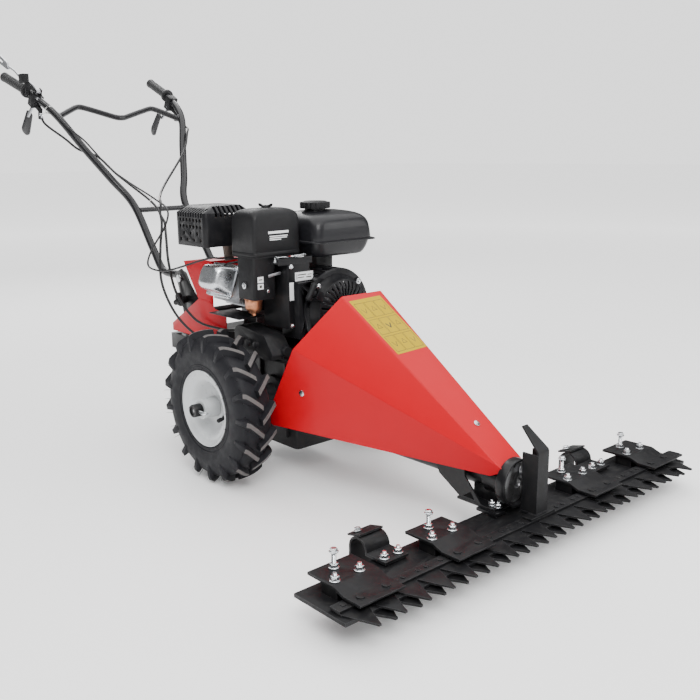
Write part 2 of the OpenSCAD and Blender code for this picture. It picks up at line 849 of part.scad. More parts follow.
module tyre() {
    half = tyre_w / 2;
    body_r = tyre_r - 17;
    rotate_extrude($fn = 64) polygon([
        [rim_r + 2.4, -48], [rim_r + 16, -half + 3], [(rim_r + body_r) / 2, -half],
        [body_r - 20, -half + 2], [body_r - 5, -half + 12], [body_r, -26], [body_r, 26],
        [body_r - 5, half - 12], [body_r - 20, half - 2], [(rim_r + body_r) / 2, half],
        [rim_r + 16, half - 3], [rim_r + 2.4, 48], [rim_r + 2.4, 43.5], [rim_r - 8, 28],
        [rim_r - 8, -28], [rim_r + 2.4, -43.5]
    ]);
    for (i = [0 : lug_count - 1], s = [-1, 1])
        rotate(360 * (i + (s > 0 ? 0.5 : 0)) / lug_count)
            translate([body_r - 6, 0, s * 26]) rotate([s * 40, 0, 0])
                translate([0, -6, -30]) cube([tyre_r - body_r + 4.8, 12, 56]);
}

module tyre_right() { color("#1e1f22") place() at_wheel(-1) tyre(); }
module tyre_left() { color("#1e1f22") place() at_wheel(1) tyre(); }

module hub_pins() {
    color("#c6c9cc") place() for (s = [-1, 1]) at_wheel(s) translate([0, 0, pin_out]) {
        rotate([0, 90, 0]) cylinder(r = 4, h = 66, center = true, $fn = 24);
        translate([41.5, 0, 0]) rotate([90, 0, 0]) rotate_extrude($fn = 32)
            translate([9, 0]) circle(r = 1.6, $fn = 16);
    }
}

// ---- Cutter bar ----

module base_plate() {
    half = bar_len / 2;
    color("#1b1b1e") place() difference() {
        block([bar_back, -half, bar_z], [bar_front, half, bar_top]);
        for (y = clamp_places, d = [-42, 22])
            translate([812, y + d, bar_z - 1]) cylinder(d = 10.5, h = 12, $fn = 24);
        for (s = [-1, 1], d = [-20, 20])
            translate([782, s * skid_y + d, bar_z - 1]) cylinder(d = 10.5, h = 12, $fn = 24);
        for (x = [768, 786], y = [-34, 34])
            translate([x, y, bar_z - 1]) cylinder(d = 10.5, h = 12, $fn = 24);
    }
}

// Y of the first moving tooth, at rest
knife_first = -571;

// One cutting tooth: root at x0, blunt tip at x1
function tooth(y, x0, x1, root, tip) =
    [[x0, y - root], [x1 - 6, y - tip], [x1, y - tip + 2], [x1, y + tip - 2], [x1 - 6, y + tip], [x0, y + root]];

module fixed_teeth() {
    first = knife_first - knife_rest;
    color("#202124") place() translate([0, 0, bar_z - 5]) linear_extrude(5) {
        for (i = [1 : tooth_count - 1])
            polygon(tooth(first + i * tooth_pitch, 884, 940, tooth_pitch / 2 - 1, 5));
        translate([840, first + tooth_pitch / 2]) square([46, (tooth_count - 1) * tooth_pitch]);
    }
}

module hold_down_clamps() {
    bend = [
        [748, 92], [826, 92], [852, 81.4], [900, 81.4], [903, 84.5], [903, 88],
        [854, 88], [828, 98], [748, 98]
    ];
    color("#1e1e21") place() for (y = clamp_places) {
        difference() {
            profile_y(bend, y - clamp_w / 2, y + clamp_w / 2);
            for (d = [-42, 22]) translate([812, y + d, 80]) cylinder(d = 10.5, h = 30, $fn = 24);
            translate([770, y - 8, 80]) cylinder(d = 10.5, h = 30, $fn = 24);
        }
        for (d = [-36, 30]) translate([878, y + d, 87]) cylinder(r = 9, h = 4.5, $fn = 24);
        difference() {
            block([786, y - clamp_w / 2 + 4, bar_top], [832, y + clamp_w / 2 - 8, 93]);
            for (d = [-42, 22]) translate([812, y + d, 60]) cylinder(d = 10.5, h = 40, $fn = 24);
        }
    }
}

module skid_shoes() {
    arch = [716, 80];
    arch_r = 28;
    strap = 5;
    heel = arch.x - arch_r + 20;
    color("#1a1a1c") place() for (s = [-1, 1]) {
        difference() {
            translate([0, s * skid_y + skid_w / 2, 0]) {
                rotate([90, 0, 0]) linear_extrude(skid_w) {
                    translate([arch.x + arch_r - strap, bar_top + 6]) square([56 + strap, 6]);
                    intersection() {
                        difference() {
                            translate(arch) circle(arch_r);
                            translate(arch) circle(arch_r - strap);
                        }
                        translate([680, 79.5]) square([70, 40]);
                    }
                    translate([arch.x - arch_r, 20]) square([strap, 60.5]);
                    difference() {
                        translate([heel, 20]) circle(20);
                        translate([heel, 20]) circle(20 - strap);
                        translate([heel, -20]) square([60, 80]);
                        translate([heel - 40, 20.5]) square([80, 80]);
                    }
                    translate([heel - 1, 0]) square([125, strap]);
                    translate([830, 0]) rotate(24) square([24, strap]);
                }
                translate([772, -skid_w + 4, bar_top]) cube([24, skid_w - 8, 6.5]);
            }
            for (d = [-20, 20]) translate([782, s * skid_y + d, bar_top - 1])
                cylinder(d = 10.5, h = 20, $fn = 24);
        }
        // Stop plate on the arch
        translate([704, s * skid_y - 34, 108]) rotate([0, -14, 0]) translate([-20, 0, -1.5])
            cube([40, 67, 4]);
    }
}

module bar_bolts() {
    color("#d4d7da") place() {
        for (y = clamp_places) {
            for (d = [-42, 22]) bolt_up(812, y + d, 98, 16, 9, 10, 36);
            translate([770, y - 8, bar_top]) cylinder(d = 10, h = 68, $fn = 24);
            bolt_up(770, y - 8, 98, 16, 8, 10, 4);
            translate([770, y - 8, 134]) cylinder(d = 18, h = 6, $fn = 6);
        }
        for (s = [-1, 1]) {
            for (d = [-20, 20]) bolt_up(782, s * skid_y + d, bar_top + 12, 16, 8, 10, 16);
            translate([698, s * skid_y - 16, 108]) rotate([0, -14, 0]) translate([0, 0, 4])
                cylinder(d = 15, h = 8, $fn = 6);
        }
        for (x = [768, 786], y = [-34, 34]) bolt_up(x, y, 86, 16, 8, 10, 22);
    }
}

module machine_bolts() {
    color("#c9ccd0") place() {
        for (x = feet_x, y = feet_y) {
            translate([x, y, plate_top - 9]) cylinder(d = 10, h = 27, $fn = 24);
            translate([x, y, 352]) cylinder(d = 17, h = 8, $fn = 6);
        }
        // Hood screws with cup washers
        translate(top_screw) rotate([0, hood_pitch, 0]) {
            translate([0, 0, -9]) cylinder(r = 3, h = 11, $fn = 24);
            translate([0, 0, 0.1]) cylinder(r = 8, h = 3, $fn = 24);
        }
        both_sides() translate(side_screw) rotate(side_turn) {
            along_y(-2, 8, 0, 0, 3);
            along_y(-3.1, -0.1, 0, 0, 8);
        }
        for (a = [30 : 60 : 330]) translate([case_front + 24, 0, drive_z]) rotate([a, 0, 0])
            translate([0, 0, 46]) rotate([0, 90, 0]) cylinder(d = 13, h = 7, $fn = 6);
        both_sides() {
            along_y(100, 120, pivot.x, pivot.z, 8);
            along_y(114.2, 122, pivot.x, pivot.z, 12);
        }
    }
}

// ---- Knife ----

module knife_bar() {
    // Rivets hidden by the driving foot are left out.
    foot_half = 52;
    color("#232327") place() {
        block([850, -604, knife_z + teeth_t], [878, 634, knife_top]);
        block([846, 600, knife_z + teeth_t], [886, 634, knife_top - 1]);
        for (i = [0 : tooth_count - 1], d = [-12, 12]) {
            y = knife_first + i * tooth_pitch + d;
            if (abs(y - knife_rest) > foot_half) translate([864, y, knife_top - 0.5])
                cylinder(r = 6, h = 3, $fn = 24);
        }
    }
}

module knife_teeth() {
    color("#2b2c30") place() translate([0, 0, knife_z]) linear_extrude(teeth_t)
        for (i = [0 : tooth_count - 1]) {
            y = knife_first + i * tooth_pitch;
            polygon(tooth(y, 880, 951, tooth_pitch / 2 - 1.5, 5));
            translate([852, y - 31.7]) square([29, 63.4]);
        }
}

module drive_channel() {
    width = 41;
    y0 = knife_rest - width / 2;
    wall = 4.5;
    color("#1d1e20") place() {
        difference() {
            block([828, y0, knife_top], [872, y0 + width, 246]);
            block([820, y0 + wall, knife_top + 8], [872 - wall, y0 + width - wall, 250]);
        }
        // Grass guard that leans back above the channel
        translate([872, 0, 246]) rotate([0, -42, 0]) rotate([0, -90, 0]) linear_extrude(wall)
            polygon([[-2, y0 + 0.5], [62, y0 + 2], [62, y0 + 20], [-2, y0 + width - 0.5]]);
        block([850, y0 - 24, knife_top], [878, y0 + 65, knife_top + 6]);
    }
}

// ---- Handlebar ----

// Run of the left grip, from its front end to its rear end
grip_run = [-112, 14, 38];

// Centre line of the left tube
handle_route = [
    [grip_x, grip_y, grip_z] + 1.28 * grip_run, [grip_x, grip_y, grip_z],
    [brace_x, brace_y, brace_z], [brace_x + 90, brace_y - 54, brace_z - 116],
    elbow + [-70, 44, 90], elbow, knee + [-50, 0, 62], knee + [14, 0, -4], foot
];

module handle_tube(s) {
    route = [for (p = handle_route) [p.x, s * p.y, p.z]];
    near = s > 0 ? 98 : -107.6;
    far = near + 9.6;
    difference() {
        sweep(spline(route, 4), handle_d / 2, 20);
        sweep(spline(route, 4), handle_d / 2 - 2, 10);
    }
    // Hinge plate on the tube's lower end
    difference() {
        hull() {
            along_y(near, far, pivot.x, pivot.z, 22);
            along_y(near, far, -430, 434, 16);
            along_y(near, far, -401, 448, 16);
            along_y(near, far, -476, 512, 12);
        }
        along_y(-120, 120, pivot.x, pivot.z, 8 + run);
        // Slot, on an arc about the pivot, that the clamp screw stands in
        for (a = [-12 : 3 : 12]) translate(pivot) rotate([0, a, 0])
            along_y(-120, 120, knob.x - pivot.x, knob.y - pivot.z, 6.6);
    }
}

module handle_tube_right() { color("#1c1d20") place() handle_tube(-1); }
module handle_tube_left() { color("#1c1d20") place() handle_tube(1); }

module cross_braces() {
    w_brace = [
        [brace_x, -brace_y + 8, brace_z - 8], [brace_x + 24, -205, brace_z + 2],
        [brace_x + 66, -128, brace_z + 12], [brace_x + 70, -88, brace_z + 12],
        [brace_x + 30, -36, brace_z - 6], [brace_x + 24, 0, brace_z - 12],
        [brace_x + 30, 36, brace_z - 6], [brace_x + 70, 88, brace_z + 12],
        [brace_x + 66, 128, brace_z + 12], [brace_x + 24, 205, brace_z + 2],
        [brace_x, brace_y - 8, brace_z - 8]
    ];
    color("#1c1d20") place() {
        sweep(spline(w_brace, 4), 10, 16);
        rod(flip(elbow) + [6, 8, -16], elbow + [6, -8, -16], 9);
    }
}

module handle_grips() {
    grip_len = 160;
    color("#121213") place() both_sides() {
        a = [grip_x, grip_y, grip_z];
        back = unit(grip_run);
        difference() {
            union() {
                rod(a, a + grip_len * back, 18);
                rod(a - 4 * back, a + 3 * back, 23);
                rod(a + (grip_len - 4) * back, a + (grip_len + 3) * back, 20);
                for (i = [1 : 12]) rod(a + (12 * i) * back, a + (12 * i + 4) * back, 19);
            }
            rod(a - 5 * back, a + (grip_len - 5) * back, handle_d / 2 - 0.3);
        }
    }
}

// Places its children on a handle tube just below its grip, X down along the tube
module at_lever(s) {
    translate([grip_x + 44, s * (grip_y - 9), grip_z - 24]) rotate([0, lever_slope, 0]) children();
}

module lever_mounts() {
    color("#1a1a1b") place() {
        for (s = [-1, 1]) at_lever(s) {
            difference() {
                block([-16, -17, -32], [16, 17, 18]);
                along_y(-20, 20, 0, lever_drop, 3 + run);
                block([-40, -7.5, -60], [12, 7.5, -15]);
            }
            // Arm that holds the cable's adjuster
            profile_y([[12, -13], [60, -13], [66, -50], [52, -54], [44, -30], [12, -30]], -4, 4);
        }
        // Throttle clamp with two ears
        at_lever(-1) {
            block([10, -16, -17], [34, 16, 17]);
            for (y = [-12, 8]) difference() {
                block([5, y, 16], [23, y + 4, 38]);
                along_y(-20, 20, throttle_hub.x, throttle_hub.z, 3 + run);
            }
        }
        // Stop switch
        block([-1128, -306, 1137], [-1090, -285, 1166]);
        block([-1108, -296, 1094], [-1098, -280, 1140]);
    }
}

// Hand lever that hangs behind and below its pivot, drawn from the pivot
module hand_lever() {
    along_y(-16.5, 16.5, 0, 0, 3);
    along_y(-7, 7, 0, 0, 7);
    profile_y([[-5, 5], [-62, -30], [-66, -48], [-4, -6]], -3, 3);
    rotate([90, 0, 0]) linear_extrude(14, center = true) hull() {
        translate([-58, -38]) circle(9, $fn = 24);
        translate([-122, -70]) circle(12, $fn = 24);
        translate([-114, -100]) circle(9, $fn = 24);
        translate([-72, -62]) circle(9, $fn = 24);
    }
}

module at_hand_lever(s) {
    at_lever(s) translate([0, 0, lever_drop]) rotate([0, -lever_slope, 0]) children();
}

module clutch_lever() { color("#2c2d30") place() at_hand_lever(-1) hand_lever(); }
module drive_lever() { color("#2c2d30") place() at_hand_lever(1) hand_lever(); }

module throttle_lever() {
    color("#b9bcc0") place() at_lever(-1) translate(throttle_hub) rotate([0, -lever_slope, 0]) {
        along_y(-11.5, 11.5, 0, 0, 3);
        along_y(-7.5, 7.5, 0, 0, 9);
        sweep(spline([
            [0, 0, 0], [-35, -2, 24], [-75, -6, 40], [-115, -11, 56], [-153, -15, 80], [-202, -21, 100]
        ], 3), 5, 12);
        // Forked finger plate
        difference() {
            profile_y([
                [-184, 84], [-262, 112], [-270, 122], [-266, 136], [-258, 142], [-190, 110]
            ], -24, -18);
            profile_y([[-230, 111], [-274, 126], [-270, 134], [-228, 115]], -30, -10);
        }
    }
}

// ---- Cables, each held at both ends ----

throttle_route = [
    [-1052.7, -281, 1084.6], [-1020, -276, 1070], [-975, -262, 1040], [-920, -234, 982],
    [-872, -200, 936],
    [-800, -158, 852], [-705, -142, 806], [-531, -142, 754], [-430, -156, 724],
    [-395, -188, 676], [-470, -196, 600], [-500, -196, 552], [-456, -194, 538],
    [-370, -192, 546], [-174, -184, 596], [-110, -181, 603], [-50, -150, 604.5],
    [-14, -120, 604.5], [1, -120, 604.5]
];
clutch_route = [
    [-1050.5, -269, 1026], [-1025, -268, 996], [-957, -232, 946], [-935, -196, 910],
    [-876, -158, 886], [-802, -132, 830], [-709, -128, 792], [-560, -130, 736],
    [-480, -150, 690], [-455, -174, 600], [-430, -190, 500], [-350, -192, 410],
    [-240, -186, 358], [-150, -170, 348], [-106, -142, 351], [-80, -142, 351]
];
drive_route = [
    [-1050.5, 269, 1026], [-1022, 268, 1000], [-965, 260, 985], [-915, 227, 966],
    [-839, 160, 896], [-706, 0, 790], [-600, -82, 756], [-548, -110, 736],
    [-534, -122, 704], [-493, -132, 680], [-440, -160, 640], [-405, -176, 560],
    [-370, -174, 470], [-270, -172, 402], [-150, -164, 390], [-96, -150, 392], [-76.8, -150, 392]
];

module throttle_cable() { color("#2a2a2c") place() sweep(spline(throttle_route, 2), 3, 8); }
module clutch_cable() { color("#1a1a1b") place() sweep(spline(clutch_route, 2), 4, 8); }
module drive_cable() { color("#1a1a1b") place() sweep(spline(drive_route, 2), 4, 8); }

module lock_knob() {
    color("#131314") place() {
        along_y(-119, -96, knob.x, knob.y, 6);
        along_y(-151.4, -114.4, knob.x, knob.y, 11);
        for (a = [0 : 120 : 240]) translate([knob.x, -142, knob.y]) rotate([0, a, 0])
            hull() {
                sphere(9, $fn = 14);
                translate([0, 0, 20]) sphere(7, $fn = 14);
            }
    }
}

chassis_frame();
gearbox_case();
gearbox_lid();
clutch_housing();
shaft_tube();
head_frame();
head_housing();
handle_bracket();
front_hood();
rear_cover();
engine_block();
cylinder_head();
valve_cover();
cylinder_shroud();
fan_cover();
recoil_cover();
fuel_tank();
air_filter_cover();
filter_element();
filter_base();
carburettor();
muffler();
muffler_guard();
drive_belt();
machine_bolts();
base_plate();
fixed_teeth();
hold_down_clamps();
skid_shoes();
bar_bolts();
axle_shaft();
rim_right();
rim_left();
tyre_right();
tyre_left();
hub_pins();
crankshaft();
drive_pulley();
input_shaft();
driven_pulley();
drive_shaft();
crank_disc();
knife_bar();
knife_teeth();
drive_channel();
handle_tube_right();
handle_tube_left();
cross_braces();
handle_grips();
lever_mounts();
clutch_lever();
drive_lever();
throttle_lever();
throttle_cable();
clutch_cable();
drive_cable();
fuel_cap();
recoil_handle();
choke_lever();
lock_knob();
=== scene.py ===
"""Looks of the walk-behind brush mower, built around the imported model."""
import json
import random
from math import atan2, cos, pi, radians, sin, tan, tau

import bmesh
import bpy
from mathutils import Matrix, Vector
from mathutils.geometry import tessellate_polygon


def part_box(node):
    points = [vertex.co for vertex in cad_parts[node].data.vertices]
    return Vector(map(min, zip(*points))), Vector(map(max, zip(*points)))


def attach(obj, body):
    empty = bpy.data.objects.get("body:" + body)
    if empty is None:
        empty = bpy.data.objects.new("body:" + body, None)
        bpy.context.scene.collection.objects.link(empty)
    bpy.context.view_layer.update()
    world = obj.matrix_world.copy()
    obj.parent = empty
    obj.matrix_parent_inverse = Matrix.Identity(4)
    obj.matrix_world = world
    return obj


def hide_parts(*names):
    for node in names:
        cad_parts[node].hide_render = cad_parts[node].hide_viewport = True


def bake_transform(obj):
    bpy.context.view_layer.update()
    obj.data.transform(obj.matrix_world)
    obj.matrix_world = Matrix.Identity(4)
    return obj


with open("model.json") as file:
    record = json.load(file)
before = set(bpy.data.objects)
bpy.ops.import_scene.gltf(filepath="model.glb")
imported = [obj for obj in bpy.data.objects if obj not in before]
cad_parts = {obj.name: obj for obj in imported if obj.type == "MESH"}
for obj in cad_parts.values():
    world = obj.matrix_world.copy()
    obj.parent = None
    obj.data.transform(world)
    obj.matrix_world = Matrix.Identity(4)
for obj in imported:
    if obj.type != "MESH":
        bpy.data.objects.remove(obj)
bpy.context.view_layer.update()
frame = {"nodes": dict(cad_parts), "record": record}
nodes = frame["nodes"]
random.seed(11)

MM = 0.001
WHITE = (1, 1, 1, 1)
AHEAD, LEFT, UP = (1, 0, 0), (0, 1, 0), (0, 0, 1)
axle_low, axle_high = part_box("axle_shaft")
AXLE_X = (axle_low.x + axle_high.x) / 2


def vec(x, y, z):
    return Vector((x, y, z))


def add_object(name, data):
    thing = bpy.data.objects.new(name, data)
    bpy.context.scene.collection.objects.link(thing)
    return thing


def smooth(mesh):
    mesh.polygons.foreach_set("use_smooth", [True] * len(mesh.polygons))


def at(x, y, z):
    """Millimetres from the ground under the axle, as a place in the model."""
    return vec(x * MM + AXLE_X, y * MM, z * MM)


# ---- Camera, floor and light ----

# The picture's camera, recovered from the wheels and the cutter bar
EYE = (2.1482, -1.5365, 0.8977)
YAW, PITCH, ROLL = (radians(a) for a in (138.848, -13.154, -0.708))
SENSOR_MM, LENS_MM = 36, 44.497
SHIFT_X, SHIFT_Y = 0.01264, 0.0030


def add_camera():
    ahead = vec(cos(PITCH) * cos(YAW), cos(PITCH) * sin(YAW), sin(PITCH))
    right = ahead.cross(Vector(UP)).normalized()
    up = right.cross(ahead)
    turned = cos(ROLL) * right + sin(ROLL) * up
    above = cos(ROLL) * up - sin(ROLL) * right
    data = bpy.data.cameras.new("camera")
    data.sensor_width, data.lens = SENSOR_MM, LENS_MM
    data.shift_x, data.shift_y = SHIFT_X, SHIFT_Y
    camera = add_object("camera", data)
    camera.matrix_world = Matrix.Translation(EYE) @ Matrix((turned, above, -ahead)).transposed().to_4x4()
    bpy.context.scene.camera = camera


def add_light(name, place, target, size, watts):
    data = bpy.data.lights.new(name, "AREA")
    data.shape = "SQUARE"
    data.size = size
    data.energy = watts
    lamp = add_object(name, data)
    lamp.location = place
    lamp.rotation_euler = (Vector(target) - Vector(place)).to_track_quat("-Z", "Y").to_euler()


WORLD_LIGHT, BACKDROP = 0.24, 1.75
FLOOR_HALF, FLOOR_Z = 40, -0.0005
# Glow of the floor: distances from the object, and strengths there
GLOW_AT, GLOW = (1.6, 8.0), (0.16, 1.45)


def add_stage():
    world = bpy.data.worlds.new("studio")
    n = Nodes(world)
    # What the camera sees past the floor is brighter than what lights the object
    lighting, backdrop = n.tree.nodes["Background"], n.add("ShaderNodeBackground")
    mix = n.add("ShaderNodeMixShader")
    n.join(n.add("ShaderNodeLightPath").outputs["Is Camera Ray"], mix.inputs[0])
    for k, (node, strength) in enumerate(((lighting, WORLD_LIGHT), (backdrop, BACKDROP))):
        n.join(n.give(node, Color=WHITE, Strength=strength).outputs[0], mix.inputs[k + 1])
    n.join(mix.outputs[0], n.tree.nodes["World Output"].inputs["Surface"])
    bpy.context.scene.world = world

    mesh = bpy.data.meshes.new("floor")
    corners = oblong(-FLOOR_HALF, -FLOOR_HALF, FLOOR_HALF, FLOOR_HALF)
    mesh.from_pydata([(x, y, FLOOR_Z) for x, y in corners], [], [(0, 1, 2, 3)])
    floor = add_object("floor", mesh)
    mat = bpy.data.materials.new("floor")
    n = Nodes(mat)
    surface = n.tree.nodes["Principled BSDF"]
    n.give(surface, Base_Color=(0.95, 0.95, 0.95, 1), Roughness=0.9, Emission_Color=WHITE)
    # The floor glows where it is far from the object, so that it fades into the backdrop
    far = n.add("ShaderNodeVectorMath", operation="LENGTH")
    n.join(n.add("ShaderNodeTexCoord").outputs["Object"], far.inputs[0])
    n.join(n.ramp(far.outputs["Value"], GLOW_AT, GLOW), surface.inputs["Emission Strength"])
    mesh.materials.append(mat)
    add_light("overhead", (0.2, 0.1, 5.0), (0.1, 0, 0.3), 9.0, 620)
    add_light("front_right", (2.9, -1.9, 3.0), (0.2, 0, 0.4), 1.8, 130)
    add_light("front_left", (2.9, 2.2, 1.9), (0.3, 0, 0.3), 1.6, 42)
    add_light("behind", (-2.8, 1.2, 2.4), (-0.3, 0, 0.6), 1.6, 50)


# ---- Materials ----

class Nodes:
    """Small helper that adds and joins shader nodes."""

    def __init__(self, owner):
        owner.use_nodes = True
        self.tree = owner.node_tree

    def add(self, kind, **values):
        return self.give(self.tree.nodes.new(kind), **values)

    def give(self, node, **values):
        """Sets a node's settings, or its sockets with _ for a space."""
        for key, value in values.items():
            if hasattr(node, key):
                setattr(node, key, value)
            else:
                node.inputs[key.replace("_", " ")].default_value = value
        return node

    def join(self, out, into):
        self.tree.links.new(out, into)

    def ramp(self, value, ends, reach=(0, 1)):
        """Brings a value from one range to another."""
        node = self.add("ShaderNodeMapRange", From_Min=ends[0], From_Max=ends[1], To_Min=reach[0], To_Max=reach[1])
        self.join(value, node.inputs["Value"])
        return node.outputs["Result"]

    def noise(self, place, scale, detail, rough=0.5):
        node = self.add("ShaderNodeTexNoise", Scale=scale, Detail=detail, Roughness=rough)
        self.join(place, node.inputs["Vector"])
        return node.outputs["Fac"]

    def mix(self, share, first, second):
        """Colour between two; each is a colour or a node's output."""
        node = self.add("ShaderNodeMix", data_type="RGBA")
        self.join(share, node.inputs[0])
        for socket, value in ((node.inputs[6], first), (node.inputs[7], second)):
            if isinstance(value, tuple):
                socket.default_value = value + (1,)
            else:
                self.join(value, socket)
        return node.outputs[2]

    def bump(self, height, depth, under=None):
        node = self.add("ShaderNodeBump", Strength=1.0, Distance=depth)
        self.join(height, node.inputs["Height"])
        if under:
            self.join(under, node.inputs["Normal"])
        return node.outputs["Normal"]


finishes = {}


def finish(name, colour, rough, metal=0, coat=0, mottle=9, mottle_by=0.14, rough_by=0.08,
        grain=900, deep=0.06, wave=0, worn=None, worn_width=1.2, dirt=None, sheen=0, shine=0.5, painted_shade_reach=0):
    """Procedural finish, lengths in millimetres: mottled colour, uneven gloss, grain, dents, wear and dirt, and painted
    shade in closed-in places (its reach in metres).

    Worn and dirt are colours with their strength as a fourth number.
    """
    mat = bpy.data.materials.new(name)
    n = Nodes(mat)
    surface = n.tree.nodes["Principled BSDF"]
    n.give(surface, Metallic=metal, Specular_IOR_Level=shine, Coat_Weight=coat, Coat_Roughness=0.12,
        Sheen_Weight=sheen)
    place = n.add("ShaderNodeTexCoord").outputs["Object"]
    patch = n.noise(place, mottle * 4.3, 4.0, 0.65)

    dark = tuple(c * (1 - mottle_by) for c in colour)
    light = tuple(min(1, c * (1 + mottle_by) + 0.01 * mottle_by) for c in colour)
    shown = n.mix(n.noise(place, mottle, 5.0, 0.6), dark, light)
    if painted_shade_reach:
        # Painted shade: the colour darkens where the surface is closed in, by ambient occlusion
        open_sky = n.add("ShaderNodeAmbientOcclusion", samples=8, Distance=painted_shade_reach)
        shown = n.mix(n.ramp(open_sky.outputs["AO"], (0.25, 0.95)), tuple(c * 0.45 for c in colour), shown)
    if dirt:
        shown = n.mix(n.ramp(patch, (0.48, 0.75), (0, dirt[3])), shown, dirt[:3])
    if worn:
        # Edges show where the rounded normal leaves the true one
        dot = n.add("ShaderNodeVectorMath", operation="DOT_PRODUCT")
        n.join(n.add("ShaderNodeBevel", samples=4, Radius=worn_width * MM).outputs["Normal"], dot.inputs[0])
        n.join(n.add("ShaderNodeNewGeometry").outputs["Normal"], dot.inputs[1])
        broken = n.add("ShaderNodeMath", operation="MULTIPLY")
        n.join(n.ramp(dot.outputs["Value"], (0.99, 0.86), (0, worn[3])), broken.inputs[0])
        n.join(patch, broken.inputs[1])
        shown = n.mix(broken.outputs[0], shown, worn[:3])

    dents = n.bump(n.noise(place, 26.0, 1.0), wave * MM) if wave else None
    n.join(n.bump(n.noise(place, grain, 3.0), deep * MM, dents), surface.inputs["Normal"])
    n.join(shown, surface.inputs["Base Color"])
    gloss = max(0.03, rough - rough_by), min(1, rough + rough_by)
    n.join(n.ramp(patch, (0.3, 0.7), gloss), surface.inputs["Roughness"])
    finishes[name] = mat
    return mat


DUST = (0.3, 0.27, 0.22)
finish("frame_black", (0.006, 0.006, 0.007), 0.36, coat=0.06, worn=(0.1, 0.1, 0.11, 0.6), dirt=(*DUST, 0.03),
    wave=0.4, shine=0.25)
finish("casting_black", (0.01, 0.01, 0.0115), 0.5, grain=420, deep=0.25, worn=(0.09, 0.09, 0.1, 0.6),
    dirt=(*DUST, 0.04), shine=0.3)
finish("hood_red", (0.5, 0.0003, 0.009), 0.34, coat=0.05, mottle=4, mottle_by=0.03, rough_by=0.05, grain=380,
    deep=0.03, wave=0.35, worn=(0.62, 0.05, 0.06, 0.5), worn_width=1.6, shine=0.15)
finish("engine_black", (0.0065, 0.0065, 0.0078), 0.42, coat=0.05, grain=700, deep=0.08, worn=(0.07, 0.07, 0.08, 0.6),
    dirt=(*DUST, 0.02), shine=0.22)
finish("tank_black", (0.008, 0.008, 0.0098), 0.38, coat=0.1, mottle=5, grain=1300, deep=0.03, wave=0.3, shine=0.28)
finish("cast_alloy", (0.52, 0.53, 0.55), 0.46, metal=0.9, grain=520, deep=0.2, dirt=(0.1, 0.09, 0.08, 0.35))
finish("pressed_alloy", (0.7, 0.72, 0.75), 0.28, metal=1, grain=300, deep=0.05, wave=0.5,
    dirt=(0.16, 0.15, 0.14, 0.2))
finish("black_plastic", (0.007, 0.007, 0.008), 0.52, grain=1500, deep=0.1, worn=(0.05, 0.05, 0.055, 0.6), shine=0.25)
finish("exhaust_steel", (0.13, 0.1, 0.085), 0.6, metal=0.6, mottle=22, mottle_by=0.4, dirt=(0.23, 0.12, 0.07, 0.3))
finish("bowl_brass", (0.6, 0.25, 0.13), 0.34, metal=0.9, mottle=30, mottle_by=0.2, dirt=(0.12, 0.06, 0.04, 0.4))
finish("foam", (0.42, 0.32, 0.12), 0.95, grain=800, deep=0.6, mottle=60, mottle_by=0.3)
finish("belt_rubber", (0.012, 0.012, 0.012), 0.8, grain=900, deep=0.2, dirt=(*DUST, 0.1), shine=0.3)
finish("zinc", (0.66, 0.68, 0.7), 0.24, metal=1, mottle=60, mottle_by=0.14, grain=1100, deep=0.01,
    dirt=(0.22, 0.2, 0.16, 0.25))
finish("shaft_steel", (0.4, 0.4, 0.41), 0.34, metal=1, mottle=30, dirt=(0.1, 0.08, 0.07, 0.35))
finish("bar_black", (0.0055, 0.0055, 0.0065), 0.52, coat=0.02, mottle=14, mottle_by=0.3, rough_by=0.12, grain=600,
    deep=0.12, worn=(0.15, 0.15, 0.16, 0.8), dirt=(*DUST, 0.03), wave=0.3, shine=0.2)
# The rim's colour carries painted shade in its dish and other closed-in places
finish("rim_white", (0.62, 0.64, 0.65), 0.3, painted_shade_reach=0.09, coat=0.2, mottle=6, mottle_by=0.04, grain=300, deep=0.04,
    wave=0.4, dirt=(0.52, 0.5, 0.46, 0.12))
finish("tyre_rubber", (0.008, 0.008, 0.0105), 0.58, mottle=10, mottle_by=0.25, rough_by=0.14, grain=520, deep=0.25,
    dirt=(0.04, 0.04, 0.045, 0.12), sheen=0.02, shine=0.2)
finish("tube_black", (0.008, 0.008, 0.0095), 0.28, coat=0.15, mottle=12, deep=0.006, worn=(0.08, 0.08, 0.085, 0.6),
    shine=0.35)
finish("grip_rubber", (0.014, 0.014, 0.015), 0.5, grain=1200, deep=0.15, sheen=0.1, dirt=(0.1, 0.1, 0.1, 0.2),
    shine=0.3)
finish("lever_grey", (0.022, 0.022, 0.024), 0.34, coat=0.1, grain=1000, deep=0.02, worn=(0.16, 0.16, 0.17, 0.6),
    shine=0.35)
finish("lever_silver", (0.46, 0.47, 0.49), 0.34, metal=0.9, mottle=40, dirt=(0.12, 0.12, 0.12, 0.3))
finish("cable_black", (0.01, 0.01, 0.011), 0.4, grain=1500, deep=0.01, mottle=40, shine=0.3)
lug_face = finish("lug_face", (0.085, 0.078, 0.076), 0.7, mottle=24, mottle_by=0.35, grain=420, deep=0.4,
    dirt=(0.16, 0.15, 0.14, 0.5))
label_white = finish("label_white", (0.78, 0.79, 0.8), 0.4, mottle=20, mottle_by=0.04, grain=1500, deep=0.02)
label_yellow = finish("label_yellow", (0.45, 0.31, 0.0), 0.36, coat=0.02, mottle=8, mottle_by=0.04, grain=1500,
    deep=0.02, wave=0.2, shine=0.12)
label_black = finish("label_black", (0.02, 0.018, 0.008), 0.45, mottle=20, grain=1500)
tie_white = finish("tie_white", (0.72, 0.72, 0.7), 0.42, mottle=30, mottle_by=0.05, grain=1300)


# ---- Mesh building ----

def oblong(u0, v0, u1, v1):
    return [(u0, v0), (u1, v0), (u1, v1), (u0, v1)]


